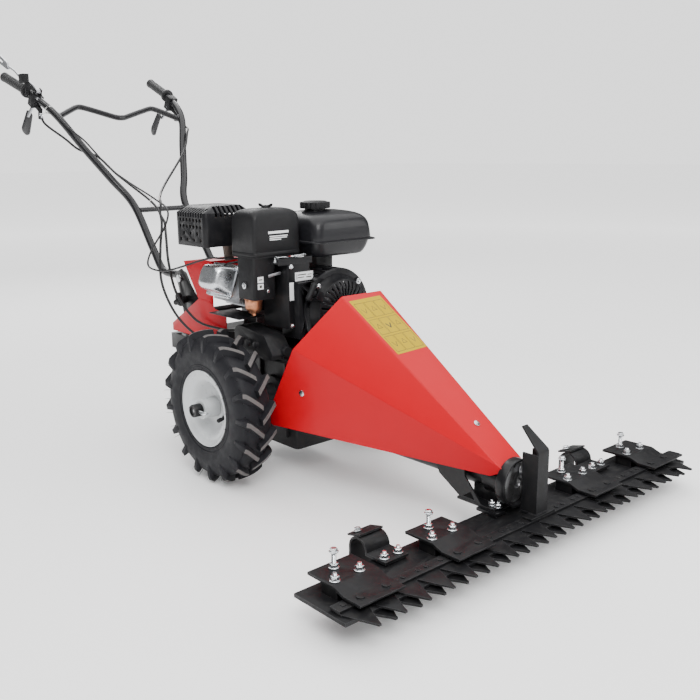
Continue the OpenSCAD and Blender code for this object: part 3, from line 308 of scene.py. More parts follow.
def circle(count, r=1.0, u=0.0, v=0.0):
    return [(u + r * cos(tau * k / count), v + r * sin(tau * k / count)) for k in range(count)]


def sideways(axis):
    """Two directions square to an axis and to each other."""
    side = axis.orthogonal().normalized()
    return side, axis.cross(side)


def on_side(side, p):
    """A point given for the left, on the side asked for: 1 left, -1 right."""
    return vec(p[0], side * p[1], p[2])


def lying(z):
    """Places an outline flat at a height."""
    return lambda u, v, w: vec(u, v, z + w)


def standing(y, way=1):
    """Places an outline upright along the machine, y out to one side."""
    return lambda u, v, w: vec(u, way * (y + w), v)


def spline(points, steps):
    """Smooth points through a route, the same curve that the model's own tubes follow."""
    p = [Vector(q) for q in points]
    last = len(p) - 1
    out = []
    for i in range(last):
        a, b, c, d = p[max(i - 1, 0)], p[i], p[i + 1], p[min(i + 2, last)]
        for j in range(steps):
            t = j / steps
            out.append(b + (c - a) * t / 2 + (a - 2.5 * b + 2 * c - d / 2) * t * t
                + (1.5 * b - a / 2 - 1.5 * c + d / 2) * t ** 3)
    return out + [p[last]]


def circle_hull(circles, steps):
    """Outline round a set of circles (x, y, r), in order."""
    cloud = sorted(q for x, y, r in circles for q in circle(steps, r, x, y))

    def half(points):
        chain = []
        for q in points:
            while len(chain) > 1 and ((chain[-1][0] - chain[-2][0]) * (q[1] - chain[-2][1])
                    - (chain[-1][1] - chain[-2][1]) * (q[0] - chain[-2][0])) <= 1e-9:
                chain.pop()
            chain.append(q)
        return chain[:-1]

    return half(cloud) + half(cloud[::-1])


def rounded_box(x0, x1, y0, y1, r, steps):
    """Outline of a rectangle with round corners, always the same number of points."""
    out = []
    for cx, cy, start in ((x1 - r, y1 - r, 0), (x0 + r, y1 - r, 90), (x0 + r, y0 + r, 180), (x1 - r, y0 + r, 270)):
        for k in range(steps + 1):
            a = radians(start + 90 * k / steps)
            out.append((cx + r * cos(a), cy + r * sin(a)))
    return out


class Shape:
    """Collects the surfaces of one piece, in millimetres from the axle."""

    def __init__(self):
        self.points = []
        self.faces = []
        self.marks = []
        self.mark = 0

    def add(self, points, faces):
        """Adds faces, given by the numbers of these points."""
        base = len(self.points)
        self.points += [Vector(p) for p in points]
        self.faces += [tuple(base + i for i in f) for f in faces]
        self.marks += [self.mark] * len(faces)

    def rings(self, rings, loop=False):
        """Skin over rings of points; its ends are closed, or joined in a loop."""
        n, count = len(rings[0]), len(rings)
        faces = []
        for i in range(count if loop else count - 1):
            a, b = i * n, ((i + 1) % count) * n
            faces += [(a + k, a + (k + 1) % n, b + (k + 1) % n, b + k) for k in range(n)]
        if not loop:
            faces += [tuple(range(n))[::-1], tuple((count - 1) * n + k for k in range(n))]
        self.add([p for ring in rings for p in ring], faces)

    def sweep(self, path, radius, sides):
        """Round tube along a path; radius is a number or one for each point."""
        path = [Vector(p) for p in path]
        last = len(path) - 1
        radii = radius if isinstance(radius, (list, tuple)) else [radius] * len(path)
        side = None
        rings = []
        for i, p in enumerate(path):
            along = (path[min(i + 1, last)] - path[max(i - 1, 0)]).normalized()
            if side is None:
                side = along.cross(vec(0.13, 0.27, 0.95)).normalized()
            side = (side - along * side.dot(along)).normalized()
            other = along.cross(side)
            rings.append([p + radii[i] * (u * side + v * other) for u, v in circle(sides)])
        self.rings(rings)

    def turned(self, profile, start, axis, sides=32, closed=False):
        """Turned part: profile of (distance along the axis, radius)."""
        axis = Vector(axis).normalized()
        side, other = sideways(axis)
        rings = [[Vector(start) + axis * d + max(r, 0.001) * (u * side + v * other) for u, v in circle(sides)]
            for d, r in profile]
        self.rings(rings, loop=closed)

    def prism(self, outline, place, depth, holes=()):
        """Flat outline of (u, v), made solid; place(u, v, w) gives the point, w from 0 to depth."""
        loops = [list(outline)] + [list(h) for h in holes]
        flat = [q for loop in loops for q in loop]
        n = len(flat)
        triangles = tessellate_polygon([[vec(u, v, 0) for u, v in loop] for loop in loops])
        faces = []
        if holes:
            faces += [tuple(t) for t in triangles] + [tuple(n + i for i in t)[::-1] for t in triangles]
        else:
            faces += [tuple(range(n)), tuple(n + i for i in range(n))[::-1]]
        base = 0
        for loop in loops:
            m = len(loop)
            faces += [(base + k, base + (k + 1) % m, n + base + (k + 1) % m, n + base + k) for k in range(m)]
            base += m
        self.add([place(u, v, 0) for u, v in flat] + [place(u, v, depth) for u, v in flat], faces)

    def block(self, a, b):
        """Box between two corners."""
        (x0, y0, z0), (x1, y1, z1) = a, b
        self.prism(oblong(x0, y0, x1, y1), lying(z0), z1 - z0)

    def bolt(self, foot, axis, across, head, washer, shank=0.0):
        """Hexagon head or nut with a chamfer, on a washer, with a threaded end above."""
        axis = Vector(axis).normalized()
        foot = Vector(foot)
        thick = 2.2
        self.turned([(0, washer - 1), (0.3, washer), (1.9, washer), (thick, washer - 0.6)], foot, axis, 28)
        side, other = sideways(axis)
        r = across / 2 / cos(pi / 6)
        top = thick + head
        levels = [(thick, 0.94), (2.9, 1.0), (top - 1.4, 1.0), (top - 0.5, 0.93), (top, 0.80)]
        self.rings([[foot + axis * h + s * r * (u * side + v * other) for u, v in circle(6)] for h, s in levels])
        if shank:
            self.thread(foot + axis * (top - 0.2), axis, shank, across * 0.29)

    def thread(self, start, axis, length, r, pitch=1.5):
        """Ridged rod that stands for a screw thread."""
        turns = max(2, int(length / pitch))
        profile = [q for i in range(turns) for q in ((i * pitch, r - 0.55), (i * pitch + 0.5 * pitch, r))]
        self.turned(profile + [(turns * pitch, r - 0.8)], start, axis, 20)

    def build(self, name, slot, body="machine", material=None, replaces=None, sharp=38, round_by=0, extra=(),
              edit=None):
        """Makes the piece; round_by rounds its sharp edges, in millimetres, and edit changes its mesh."""
        mesh = bpy.data.meshes.new(name)
        mesh.from_pydata([at(*p) for p in self.points], [], self.faces)
        work = bmesh.new()
        work.from_mesh(mesh)
        work.faces.ensure_lookup_table()
        for face, mark in zip(work.faces, self.marks):
            face.material_index = mark
        bmesh.ops.recalc_face_normals(work, faces=work.faces)
        if edit:
            edit(work)
        work.to_mesh(mesh)
        work.free()
        smooth(mesh)
        mesh.set_sharp_from_angle(angle=radians(sharp))
        for mat in [material or finishes[slot], *extra]:
            mesh.materials.append(mat)
        piece = add_object(name, mesh)
        if round_by:
            soften(piece, round_by, sharp)
        if body:
            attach(piece, body)
        if replaces:
            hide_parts(replaces)
        return piece


def soften(piece, width, angle):
    """Rounds sharp edges by a width in millimetres, with clean shading."""
    bevel = piece.modifiers.new("rounded_edges", "BEVEL")
    bevel.width = width * MM
    bevel.segments = 2
    bevel.limit_method = "ANGLE"
    bevel.angle_limit = radians(angle)
    bevel.harden_normals = True
    bevel.use_clamp_overlap = True


# ---- CAD pieces that keep their own shape ----

# Rounding of the CAD pieces' edges, in millimetres
ROUNDING = {
    0.3: "hub_pins", 0.4: "knife_teeth choke_lever", 0.6: "rear_cover drive_pulley driven_pulley",
    0.7: "cylinder_head recoil_cover muffler_guard", 0.9: "hold_down_clamps", 1.0: "chassis_frame crank_disc",
    0.8: "gearbox_lid handle_bracket cylinder_shroud base_plate skid_shoes knife_bar lever_mounts axle_shaft",
    1.2: "carburettor fuel_cap", 1.4: "engine_block filter_base", 1.6: "gearbox_case head_housing",
    2.0: "clutch_housing muffler", 2.2: "fan_cover",
}
OTHER_ROUNDING = 0.5


def dress_cad_nodes():
    """Gives every CAD node its finish, smooth shading and softly rounded edges."""
    rounding = {name: r for r, names in ROUNDING.items() for name in names.split()}
    for part in frame["record"]["subparts"]:
        name = part["node"]
        node = nodes[name]
        node.data.materials.clear()
        node.data.materials.append(finishes[part["material_slot"]])
        smooth(node.data)
        weld = node.modifiers.new("joined_faces", "WELD")
        weld.merge_threshold = 0.00001
        flat = node.modifiers.new("plain_faces", "DECIMATE")
        flat.decimate_type = "DISSOLVE"
        flat.angle_limit = radians(0.6)
        soften(node, rounding.get(name, OTHER_ROUNDING), 34)


# ---- Wheels ----

TYRE_R = 213
TRACK = 279
LUGS = 17
# Half outline of the carcass: distance from the tyre's centre, and radius
CARCASS = [(0, 196), (14, 195.8), (26, 194.6), (34, 192), (41, 187), (46, 180), (50, 170), (52.4, 158),
    (52.8, 146), (51.4, 134), (49.4, 126), (49.2, 123.6), (50.2, 122.4), (49.4, 120.6), (48, 119),
    (48.2, 112), (47.4, 109.4), (46, 107.4)]


def wheel_point(side, angle, out, r):
    """Point on a wheel: out from the tyre's middle, and the radius."""
    return vec(r * cos(angle), side * (TRACK + out), TYRE_R + r * sin(angle))


def wheel_rings(s, side, outline, around, loop=True):
    """Turns an outline of (out, radius) round the wheel's axis."""
    s.rings([[wheel_point(side, tau * k / around, w, r) for k in range(around)] for w, r in outline], loop)


def tyre(side, word):
    s = Shape()
    outline = [(-w, r) for w, r in CARCASS[::-1]] + CARCASS[1:]
    outline += [(43.4, 107.2), (28, 101.2), (-28, 101.2), (-43.4, 107.2)]
    wheel_rings(s, side, outline, 136)
    # Long slanting lugs that run from the middle over the shoulder and down the wall
    top = [(-2.5, 212.6), (6, 212.8), (18, 212.2), (30, 210.6), (40, 208), (48.5, 204), (52.6, 197.5),
        (54.2, 187), (54.4, 176), (53.6, 166), (52.6, 160)]
    low = [(-2.5, 192), (6, 192), (18, 191), (30, 189), (37, 185), (42, 179), (46, 172), (48.5, 165),
        (49.8, 160), (50.2, 156), (50.2, 153)]
    shoulder = 44
    lean = tan(radians(41))
    slant = lean / 205
    for half in (-1, 1):
        for i in range(LUGS):
            start = tau * (i + (0.5 if half > 0 else 0)) / LUGS
            rings = []
            for (wt, rt), (wl, rl) in zip(top, low):
                reach = min(wt, shoulder)
                middle = start + slant * reach + max(0, wt - shoulder) * 0.0006
                wide = 6.4 if rt > 200 else 5.4 - (200 - rt) * 0.045
                foot = 10.4 if rt > 200 else 8.4 - (200 - rt) * 0.05
                # The bar's ends are cut along its own slant
                skew = 0.22 * lean if reach < shoulder else 0.06
                rings.append([wheel_point(side, middle + across / r * 1.15, half * (w - across * skew), r)
                    for across, w, r in ((-foot, wl, rl), (-wide, wt, rt), (wide, wt, rt), (foot, wl, rl))])
            s.rings(rings)
            # Worn, paler face on the top of each lug
            s.mark = 1
            s.rings([[wheel_point(side, start + slant * min(wt, shoulder) + across / rt * 1.15,
                            half * (wt - across * 0.19), rt + d)
                for across, d in ((-5.2, 0.25), (5.2, 0.25), (5.0, -1.0), (-5.0, -1.0))] for wt, rt in top[:6]])
            s.mark = 0
    # Moulding whiskers: (out and radius of the foot, bend, range of the tip's radius, one place in how many)
    whiskers = ((47.4, 116, 0.03, (104, 109), 2), (40, 188, 0.02, (204, 209), 1))
    for i in range(LUGS * 2):
        a = tau * (i + 0.3 + 0.4 * random.random()) / (LUGS * 2)
        for out, r, bend, tips, every in whiskers:
            foot = wheel_point(side, a, out, r)
            tip = wheel_point(side, a + bend * random.uniform(-1, 1), random.uniform(52, 55), random.uniform(*tips))
            if i % every == 0:
                s.sweep([foot, (foot + tip) / 2, tip], [0.8, 0.6, 0.25], 6)
    s.build(f"tyre_{word}_tread", "tyre_rubber", "wheels", replaces=f"tyre_{word}", extra=(lug_face,),
        round_by=0.9, sharp=30)


def rim(side, word):
    name = f"rim_{word}_wheel"
    s = Shape()
    dish = [(6, 26), (6.4, 34), (7.4, 44), (10, 52), (16, 60), (25, 70), (30.5, 78), (33.4, 85), (34, 90),
        (32.6, 93.5), (30.2, 96), (31, 97.6), (37.6, 98.4), (41.6, 101.4), (43.4, 104.4), (45.6, 106.4),
        (48.2, 107), (50, 105.8), (49.8, 103.8), (47.4, 102.8), (45, 100), (43.4, 95.4), (40, 92.4),
        (38.8, 87.4), (36.6, 80), (33, 74), (23, 64), (15.4, 55), (12.2, 46), (11.2, 36), (11, 26)]
    barrel = [(36, 92), (30, 97), (-36, 96), (-41, 100), (-44, 105), (-49, 107), (-50, 102), (-44, 95), (-38, 90)]
    tube = [(-44, 12.8), (-44, 25.6), (-42.4, 27), (6, 27), (9, 27.6), (12.5, 28.8), (14.5, 27.4), (56.6, 27),
        (58, 26.2), (58.2, 12.8)]
    # Dark sleeve on the axle outside the hub
    sleeve = [(58.4, 12.8), (58.4, 16.8), (59.4, 17.8), (82.6, 17.8), (84, 16.6), (84, 12.8)]
    for outline, around, mark in ((dish, 120, 0), (barrel, 120, 0), (tube, 48, 0), (sleeve, 48, 1)):
        s.mark = mark
        wheel_rings(s, side, outline, around)
    s.build(name, "rim_white", "wheels", replaces=f"rim_{word}", sharp=42, extra=(finishes["frame_black"],))
    # Tyre valve with its cap
    angle = radians(-8)
    v = Shape()
    foot = wheel_point(side, angle, 33, 80)
    axis = (wheel_point(side, angle, 63, 90) - foot).normalized()
    v.turned([(-1, 7.6), (1, 8), (3, 6.6), (5, 5), (14, 4.2), (16, 4.0)], foot, axis, 24)
    v.turned([(14.5, 5.4), (15.5, 6), (27.5, 5.6), (29, 4.6), (29.4, 2)], foot, axis, 24)
    v.build("valve_" + name, "black_plastic", "wheels", sharp=40)
    # Dark end of the axle with its centre hole
    e = Shape()
    wheel_rings(e, side, [(79.6, 12.0), (80.3, 12.2), (80.9, 11.6), (81, 4.6), (77, 2.6), (76.8, 0.05)], 32, loop=False)
    e.build("axle_end_" + name, "frame_black", "wheels", sharp=40)


def panel_point(points, u, v):
    """Point across a four-cornered panel."""
    a, b, c, d = points
    return a * (1 - u) * (1 - v) + b * u * (1 - v) + c * u * v + d * (1 - u) * v


# ---- Drive tube and cutting head ----

CASE_FRONT = (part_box("shaft_tube")[0].x - AXLE_X) / MM - 12
DRIVE_Z = 145
FOOT_PLATE_Z = 80
FOOT_BOLTS_X, FOOT_BOLTS_Y = (768, 786), (-34, 34)
KNIFE_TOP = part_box("drive_channel")[0].z / MM


def add_head_plates():
    """Side plates, foot plate and saddle that hold the cutter bar under the drive tube."""
    s = Shape()
    side = [(609, 172), (609, 145), (616, 129), (685, 87), (733, 86), (748, 86), (697, 142), (694, 172)]
    window = [(692, 92), (716, 108), (729, 91)]
    web = [(700, 86), (780, 86), (780, 112), (752, 130), (712, 150), (700, 150)]
    for y in (-1, 1):
        s.prism(side, standing(46, y), 5, holes=(window,))
        s.prism(web, standing(14, y), 5)
        s.block((742, min(24 * y, 60 * y), 73), (800, max(24 * y, 60 * y), FOOT_PLATE_Z))
    holes = [circle(24, 5.25, x, y) for x in FOOT_BOLTS_X for y in FOOT_BOLTS_Y]
    s.prism(oblong(676, -52, 790, 52), lying(FOOT_PLATE_Z), 6, holes)
    s.build("head_plates", "frame_black", replaces="head_frame", sharp=35, round_by=1.0)


def add_knife_driver():
    """Channel on the knife, with its guard bent back over the top."""
    s = Shape()
    back, front, right, width, wall, floor, high = 828, 872, -6.5, 41, 4.5, 8, 226
    left = right + width
    channel = [(back, right), (front, right), (front, left), (back, left), (back, left - wall),
        (front - wall, left - wall), (front - wall, right + wall), (back, right + wall)]
    s.prism(channel, lying(KNIFE_TOP + floor), high - KNIFE_TOP - floor)
    s.block((back, right, KNIFE_TOP), (front, left, KNIFE_TOP + floor + 0.01))
    # Guard: up the channel's front, round the bend and back
    x, bend_z, bend_r, lean, run = 872.4, 228, 14, radians(42), 67
    line = [(x, KNIFE_TOP + 9), (x, bend_z)]
    line += [(x - bend_r * (1 - cos(lean * k / 8)), bend_z + bend_r * sin(lean * k / 8)) for k in range(1, 9)]
    line.append((line[-1][0] - run * sin(lean), line[-1][1] + run * cos(lean)))
    rows = []
    last = len(line) - 1
    for i, (x, z) in enumerate(line):
        a, b = line[max(i - 1, 0)], line[min(i + 1, last)]
        inward = vec(a[1] - b[1], 0, b[0] - a[0]).normalized() * wall
        ends = (right + 2, left - 21) if i == last else (right + 0.3, left - 0.3)
        near, far = (vec(x, y, z) for y in ends)
        rows.append([near, far, far + inward, near + inward])
    s.rings(rows)
    s.block((850, right - 24, KNIFE_TOP), (878, right + 65, KNIFE_TOP + 6))
    s.build("knife_driver", "bar_black", "knife", replaces="drive_channel", sharp=35, round_by=0.9)


def add_drive_tube():
    """Tube from the gearbox to the cutter head, with the upright that holds the hood."""
    length = 738 - CASE_FRONT
    s = Shape()
    s.turned([(12, 54), (24, 54), (24, 31), (length, 31), (length, 26), (12, 26)], (CASE_FRONT, 0, DRIVE_Z), AHEAD,
        48, closed=True)
    s.block((679, -14, DRIVE_Z + 28), (683, 14, 256.5))
    s.prism([(674, 263.8), (701, 245.8), (698.8, 242.4), (671.8, 260.4)], standing(-14), 28)
    s.build("drive_tube", "frame_black", replaces="shaft_tube", sharp=35, round_by=0.8)


# ---- Folded front hood ----

HOOD_REAR, HOOD_FRONT = vec(285, -71, 526), vec(789, -43, 190)


def add_hood():
    crease_rear = vec(213, -180, 391)
    lower_rear, lower_front = vec(112, -204, 171), vec(769.5, -47.6, 162.1)
    # The lowest rear corner is cut round
    cut, steps = 15, 5
    to_crease, to_front = (crease_rear - lower_rear).normalized(), (lower_front - lower_rear).normalized()
    corner = [lower_rear + cut * (to_crease * (1 - k / steps) ** 2 + to_front * (k / steps) ** 2)
        for k in range(steps + 1)]
    right = [HOOD_REAR, HOOD_FRONT, crease_rear, lower_front] + corner
    n = len(right)
    panels = [(2, 1, 0), (3, 1, 2, *range(4, n))]
    faces = [(0, 1, n + 1, n)] + panels + [tuple(n + i for i in panel[::-1]) for panel in panels]

    def fold(work):
        """Faces outwards, with the folds rounded."""
        if max(work.faces, key=lambda f: f.calc_center_median().z).normal.z < 0:
            bmesh.ops.reverse_faces(work, faces=work.faces)
        folds = [e for e in work.edges if len(e.link_faces) == 2 and e.calc_face_angle(0) > 0.05]
        bmesh.ops.bevel(work, geom=folds, offset=0.0042, segments=5, profile=0.5, affect="EDGES",
            clamp_overlap=True)

    s = Shape()
    s.add(right + [on_side(-1, p) for p in right], faces)
    hood = s.build("folded_hood", "hood_red", replaces="front_hood", sharp=180, edit=fold)
    sheet = hood.modifiers.new("sheet", "SOLIDIFY")
    sheet.thickness = 0.002
    sheet.offset = -1
    sheet.use_even_offset = True
    soften(hood, 0.45, 50)


# Labels stand off their surface, and the marks on them a little more; ASPECT is the decal's length by width
STICKER_LIFT, STICKER_THICK = 0.1, 0.25
MARK_LIFT, MARK_THICK = 0.36, 0.12
ASPECT = 1.5


def add_decal():
    """Plain yellow sticker with simple marks and no lettering."""
    slope = HOOD_FRONT - HOOD_REAR
    normal = vec(-slope.z, 0, slope.x).normalized()
    corners = [vec(x, y, 0) for x, y in ((303, -62), (299.5, 52.5), (470, 58), (474, -51))]

    def on_hood(lift):
        """Places u across to the left and v down the hood, as shares of the sticker."""
        def place(u, v, w):
            q = panel_point(corners, u, v)
            q.z = HOOD_REAR.z + (q.x - HOOD_REAR.x) * slope.z / slope.x
            return q + normal * (lift + w)
        return place

    s = Shape()
    s.prism(oblong(0, 0, 1, 1), on_hood(STICKER_LIFT), STICKER_THICK)
    s.build("hood_sticker", "hood_red", material=label_yellow)
    m = Shape()

    def bar(u0, v0, u1, v1, wide):
        a, b = vec(u0, v0 * ASPECT, 0), vec(u1, v1 * ASPECT, 0)
        d = (b - a).normalized()
        p = vec(-d.y, d.x, 0) * wide / 2
        m.prism([(q.x, q.y / ASPECT) for q in (a + p, b + p, b - p, a - p)], on_hood(MARK_LIFT), MARK_THICK)

    # Framed boxes with a wedge or a triangle in each
    for row in range(3):
        v0, v1 = 0.07 + 0.31 * row, 0.34 + 0.31 * row
        for col in range(3):
            u0, u1 = 0.06 + 0.305 * col, 0.335 + 0.305 * col
            box = oblong(u0, v0, u1, v1)
            for k in range(4):
                bar(*box[k], *box[(k + 1) % 4], 0.008)
            cu, cv = (u0 + u1) / 2, (v0 + v1) / 2
            if (row + col) % 2 == 0:
                for way in (-1, 1):
                    bar(cu + way * 0.07, cv - 0.03, cu, cv + 0.05, 0.030 if row == 1 else 0.012)
            else:
                for k in range(3):
                    a0, a1 = radians(90 + 120 * k), radians(210 + 120 * k)
                    bar(cu + 0.08 * cos(a0), cv - 0.05 * sin(a0),
                        cu + 0.08 * cos(a1), cv - 0.05 * sin(a1), 0.010)
    m.build("hood_sticker_marks", "hood_red", material=label_black)


# ---- Engine ----

NUT = vec(32, -120, 748)
CRANK_Y, CRANK_Z = 38, 460
CYLINDER_LEAN = radians(70)


def inset(box, levels):
    """Levels for a loft, from a box (x0, x1, y0, y1): each (z, distance inside it, corner radius)."""
    x0, x1, y0, y1 = box
    return [(z, x0 + d, x1 - d, y0 + d, y1 - d, r) for z, d, r in levels]


def loft(s, levels, steps):
    """Stack of rounded rectangles: (z, x0, x1, y0, y1, r)."""
    s.rings([[vec(x, y, z) for x, y in rounded_box(*sides, steps)] for z, *sides in levels])


def add_tank():
    box = -60, 152, -41, 174
    s = Shape()
    upper = [(655.4, 1.0, 26), (660, 0.6, 26), (672, 1.4, 27), (686, 2.6, 28), (698, 4.4, 30), (707, 7.4, 32),
        (714, 12, 34), (720, 18, 36), (725, 27, 38), (729, 40, 42), (732, 58, 44), (733.6, 78, 20), (734, 98, 5)]
    lower = [(609.2, 34, 28), (609.8, 24, 30), (612.4, 18, 30), (618, 14, 30), (628, 10, 28), (640, 6.5, 27),
        (648.8, 5, 26)]
    loft(s, inset(box, upper), 8)
    loft(s, inset(box, lower), 8)
    lip = [(649, -64, 158, -44, 185, 30), (649.3, -65.6, 159.6, -44, 186.6, 31), (650.8, -66, 160, -44, 187, 31),
        (652.2, -65.6, 159.6, -44, 186.6, 31), (652.6, -64, 158, -44, 185, 30), (655.6, -60, 152, -41, 174, 27)]
    loft(s, lip, 8)
    # Filler neck under the cap
    s.turned([(-3, 34), (1.2, 33.4), (2, 31), (5.6, 30), (6, 29.4), (8.8, 29.4), (9, 28)], (52, 38, 730), UP, 48)
    s.build("tank_shell", "tank_black", replaces="fuel_tank", sharp=50)


def add_filter_cover():
    s = Shape()
    levels = [(623, 0.8, 11), (624, 0, 12), (632, 0, 12), (633, 0.9, 11), (635, 0.9, 11), (636, 0, 12), (690, 0.6, 12),
        (718, 1.2, 13), (729, 2.6, 15), (736, 5.8, 17), (741, 11, 20), (744.6, 19, 22), (746.8, 30, 20),
        (747.6, 42, 12)]
    loft(s, inset((-20, 92, -205, -46), levels), 7)
    # Mounded rest under the wing nut
    s.turned([(-2, 19), (0.4, 18), (1.6, 15), (2, 11)], NUT - vec(0, 0, 1.8), UP, 36)
    s.build("filter_cover_shell", "black_plastic", replaces="air_filter_cover", sharp=46)
    w = Shape()
    w.turned([(0, 11), (0.6, 12), (3.8, 11.4), (6, 9.4), (6.6, 5)], NUT, UP, 28)
    for way in (1, -1):
        a = radians(20)
        c, d = way * cos(a), way * sin(a)
        w.prism(circle_hull([(6, 2.5, 2.5), (17, 6, 4.2), (20, 8, 3)], 16),
            lambda u, v, t, c=c, d=d: NUT + vec(u * c - (t - 1.7) * d, u * d + (t - 1.7) * c, v), 3.4)
    w.build("filter_wing_nut", "black_plastic", round_by=0.8)


def leaning(x, out):
    """Frame on the leaning cylinder: origin, along the machine, across and outwards."""
    outward = vec(0, -sin(CYLINDER_LEAN), cos(CYLINDER_LEAN))
    across = vec(0, cos(CYLINDER_LEAN), sin(CYLINDER_LEAN))
    return vec(x, CRANK_Y, CRANK_Z) + outward * out, Vector(AHEAD), across, outward


def add_valve_cover():
    origin, u_dir, v_dir, w_dir = leaning(-82, 241.4)
    s = Shape()
    flange = [(0.1, 59, 48, 9), (3.6, 59, 48, 9), (4, 58.4, 47.4, 9)]
    cap = [(4, 52.6, 41.6, 14), (8, 51.6, 40.6, 15), (30, 48.4, 37.4, 17), (46, 45.4, 34.4, 18), (54, 42, 31, 18),
        (58.6, 36.4, 25.4, 16), (60, 30, 19, 12)]
    for levels in (flange, cap):
        s.rings([[origin + u_dir * u + v_dir * v + w_dir * w for u, v in rounded_box(-hu, hu, -hv, hv, r, 7)]
            for w, hu, hv, r in levels])
    for u, v in oblong(-52, -41, 52, 41):
        s.bolt(origin + u_dir * u + v_dir * v + w_dir * 3.8, w_dir, 10, 5, 6.8)
    s.build("valve_cover_pressing", "pressed_alloy", replaces="valve_cover", sharp=42)


def sticker(name, x, ends, material, marks=(), mark_material=None):
    """Label that faces forwards, between ends (y0, z0, y1, z1); marks are the same, as shares of it."""
    y0, z0, y1, z1 = ends

    def facing(lift):
        return lambda u, v, w: vec(x + lift + w, y0 + (y1 - y0) * u, z0 + (z1 - z0) * v)

    s = Shape()
    s.prism(oblong(0, 0, 1, 1), facing(STICKER_LIFT), STICKER_THICK)
    s.build(name, "engine_black", material=material)
    if marks:
        m = Shape()
        for mark in marks:
            m.prism(oblong(*mark), facing(MARK_LIFT), MARK_THICK)
        m.build(name + "_marks", "engine_black", material=mark_material)


def add_labels():
    block, cover, box = 120.2, 92.2, 84.2
    sticker("plate_label", block, (-93, 551, -30.5, 575), label_white, [(0.08, 0.2, 0.11, 0.8),
        (0.15, 0.62, 0.62, 0.74), (0.15, 0.34, 0.5, 0.44), (0.62, 0.3, 0.9, 0.42), (0.7, 0.6, 0.92, 0.68)], label_black)
    sticker("seal_label", block, (-113, 500, -98.5, 549), label_white)
    sticker("filter_label_bar", cover, (-158, 682, -90, 688.5), label_white)
    sticker("filter_label_rows", cover, (-155, 661, -92, 679), finishes["black_plastic"],
        [(0.02, 0.72, 0.98, 0.86), (0.02, 0.46, 0.94, 0.60), (0.02, 0.20, 0.62, 0.34)], label_white)
    sticker("box_label_0", box, (-192, 553, -173, 569), label_white, [(0.2, 0.4, 0.8, 0.6)], label_black)
    sticker("box_label_1", box, (-192, 535, -173, 550), label_white, [(0.3, 0.25, 0.7, 0.75)], label_black)


def spring(s, a, b, r, wire, turns):
    a, b = Vector(a), Vector(b)
    side, other = sideways((b - a).normalized())
    coil = circle(10, r)
    steps = turns * len(coil)
    s.sweep([a + (b - a) * k / steps + coil[k % 10][0] * side + coil[k % 10][1] * other for k in range(steps + 1)],
        wire, 6)


def add_engine_trim():
    rods = Shape()
    rods.sweep(spline([(8, -120, 609), (40, -118, 613), (86, -132, 612), (112, -146, 619), (118, -120, 620),
        (110, -96, 612)], 6), 1.3, 8)
    rods.sweep(spline([(30, -60, 609), (70, -56, 616), (112, -60, 620), (121, -90, 618)], 6), 1.3, 8)
    spring(rods, (100, -142, 616), (60, -100, 614), 4.2, 0.7, 12)
    spring(rods, (116, -52, 621), (116, -92, 619), 3.6, 0.6, 12)
    rods.build("governor_rods", "zinc", sharp=60)
    bolts = Shape()
    for y, z in ((-107, 430), (-107, 592)):
        bolts.bolt((120, y, z), AHEAD, 8, 4.5, 6.5)
    for x, y in ((106, -148), (110, -46), (12, -60)):
        bolts.bolt((x, y, 606), UP, 8, 4.5, 6.5)
    for a in (45, 135, 225, 315):
        b = radians(a)
        bolts.bolt((150, CRANK_Y - 104 * sin(b), CRANK_Z + 104 * cos(b)), AHEAD, 8, 4, 8)
    bolts.bolt((84, -160, 528), AHEAD, 9, 3, 9)
    bolts.bolt((44, -207, 544), (0, -1, 0), 9, 3, 9)
    bolts.build("engine_bolts", "zinc", sharp=30)
    hoses = Shape()
    hoses.sweep(spline([(40, -10, 612), (52, -60, 596), (46, -96, 560), (34, -128, 540), (30, -142, 520)], 8),
        3.6, 14)
    hoses.sweep(spline([(-98, -172, 552), (-60, -196, 590), (-24, -150, 598), (0, -100, 590), (40, -88, 560),
        (66, -96, 500)], 8), 3.2, 14)
    hoses.build("fuel_and_spark_leads", "cable_black", sharp=60)


def add_recoil_handle():
    turn = radians(60)
    origin = vec(162, -52, 514)
    v_dir = vec(0, cos(turn), sin(turn))
    w_dir = vec(0, -sin(turn), cos(turn))
    s = Shape()
    centre = origin + w_dir * 22
    s.turned([(-27, 3), (-26.4, 6), (-24, 8.4), (-18, 9), (-8, 8.2), (0, 8.8), (8, 8.2), (18, 9), (24, 8.4),
        (26.4, 6), (27, 3)], centre, v_dir, 36)
    s.turned([(8.6, 5), (9, 8.6), (12, 8.8), (17, 7.2), (20, 6.6)], origin, w_dir, 30)
    s.turned([(-5, 2), (-4.6, 2.8), (9, 2.8)], origin, w_dir, 16)
    s.build("starter_grip", "black_plastic", "starter", replaces="recoil_handle", sharp=50)
    # Rope that draws out of the cover with the grip
    rope = Shape()
    rope.sweep([origin + w_dir * (k * 0.5 - 4) for k in range(27)], 2.2, 14)
    line = rope.build("starter_rope", "cable_black", None)
    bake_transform(line)


# ---- Handlebar ----

GRIP = vec(-1134, 278, 1112)
GRIP_RUN = vec(-112, 12, 41)
BRACE = vec(-988, 248, 1030)
ELBOW = vec(-747, 100, 722)
KNEE = vec(-583, 100, 520)
FOOT = vec(-462, 93, 513)
PIVOT = vec(-445, 0, 505)
KNOB = vec(-415, 0, 440)
HANDLE_ROUTE = [GRIP + 1.28 * GRIP_RUN, GRIP, BRACE, BRACE + vec(90, -54, -116),
    ELBOW + vec(-70, 44, 90), ELBOW, KNEE + vec(-50, 0, 62), KNEE + vec(14, 0, -4), FOOT]
# Where the crossbar meets the tubes, seen from the elbow
CROSSBAR = vec(6, -8, -16)
MOUNT_LEAN = radians(29)


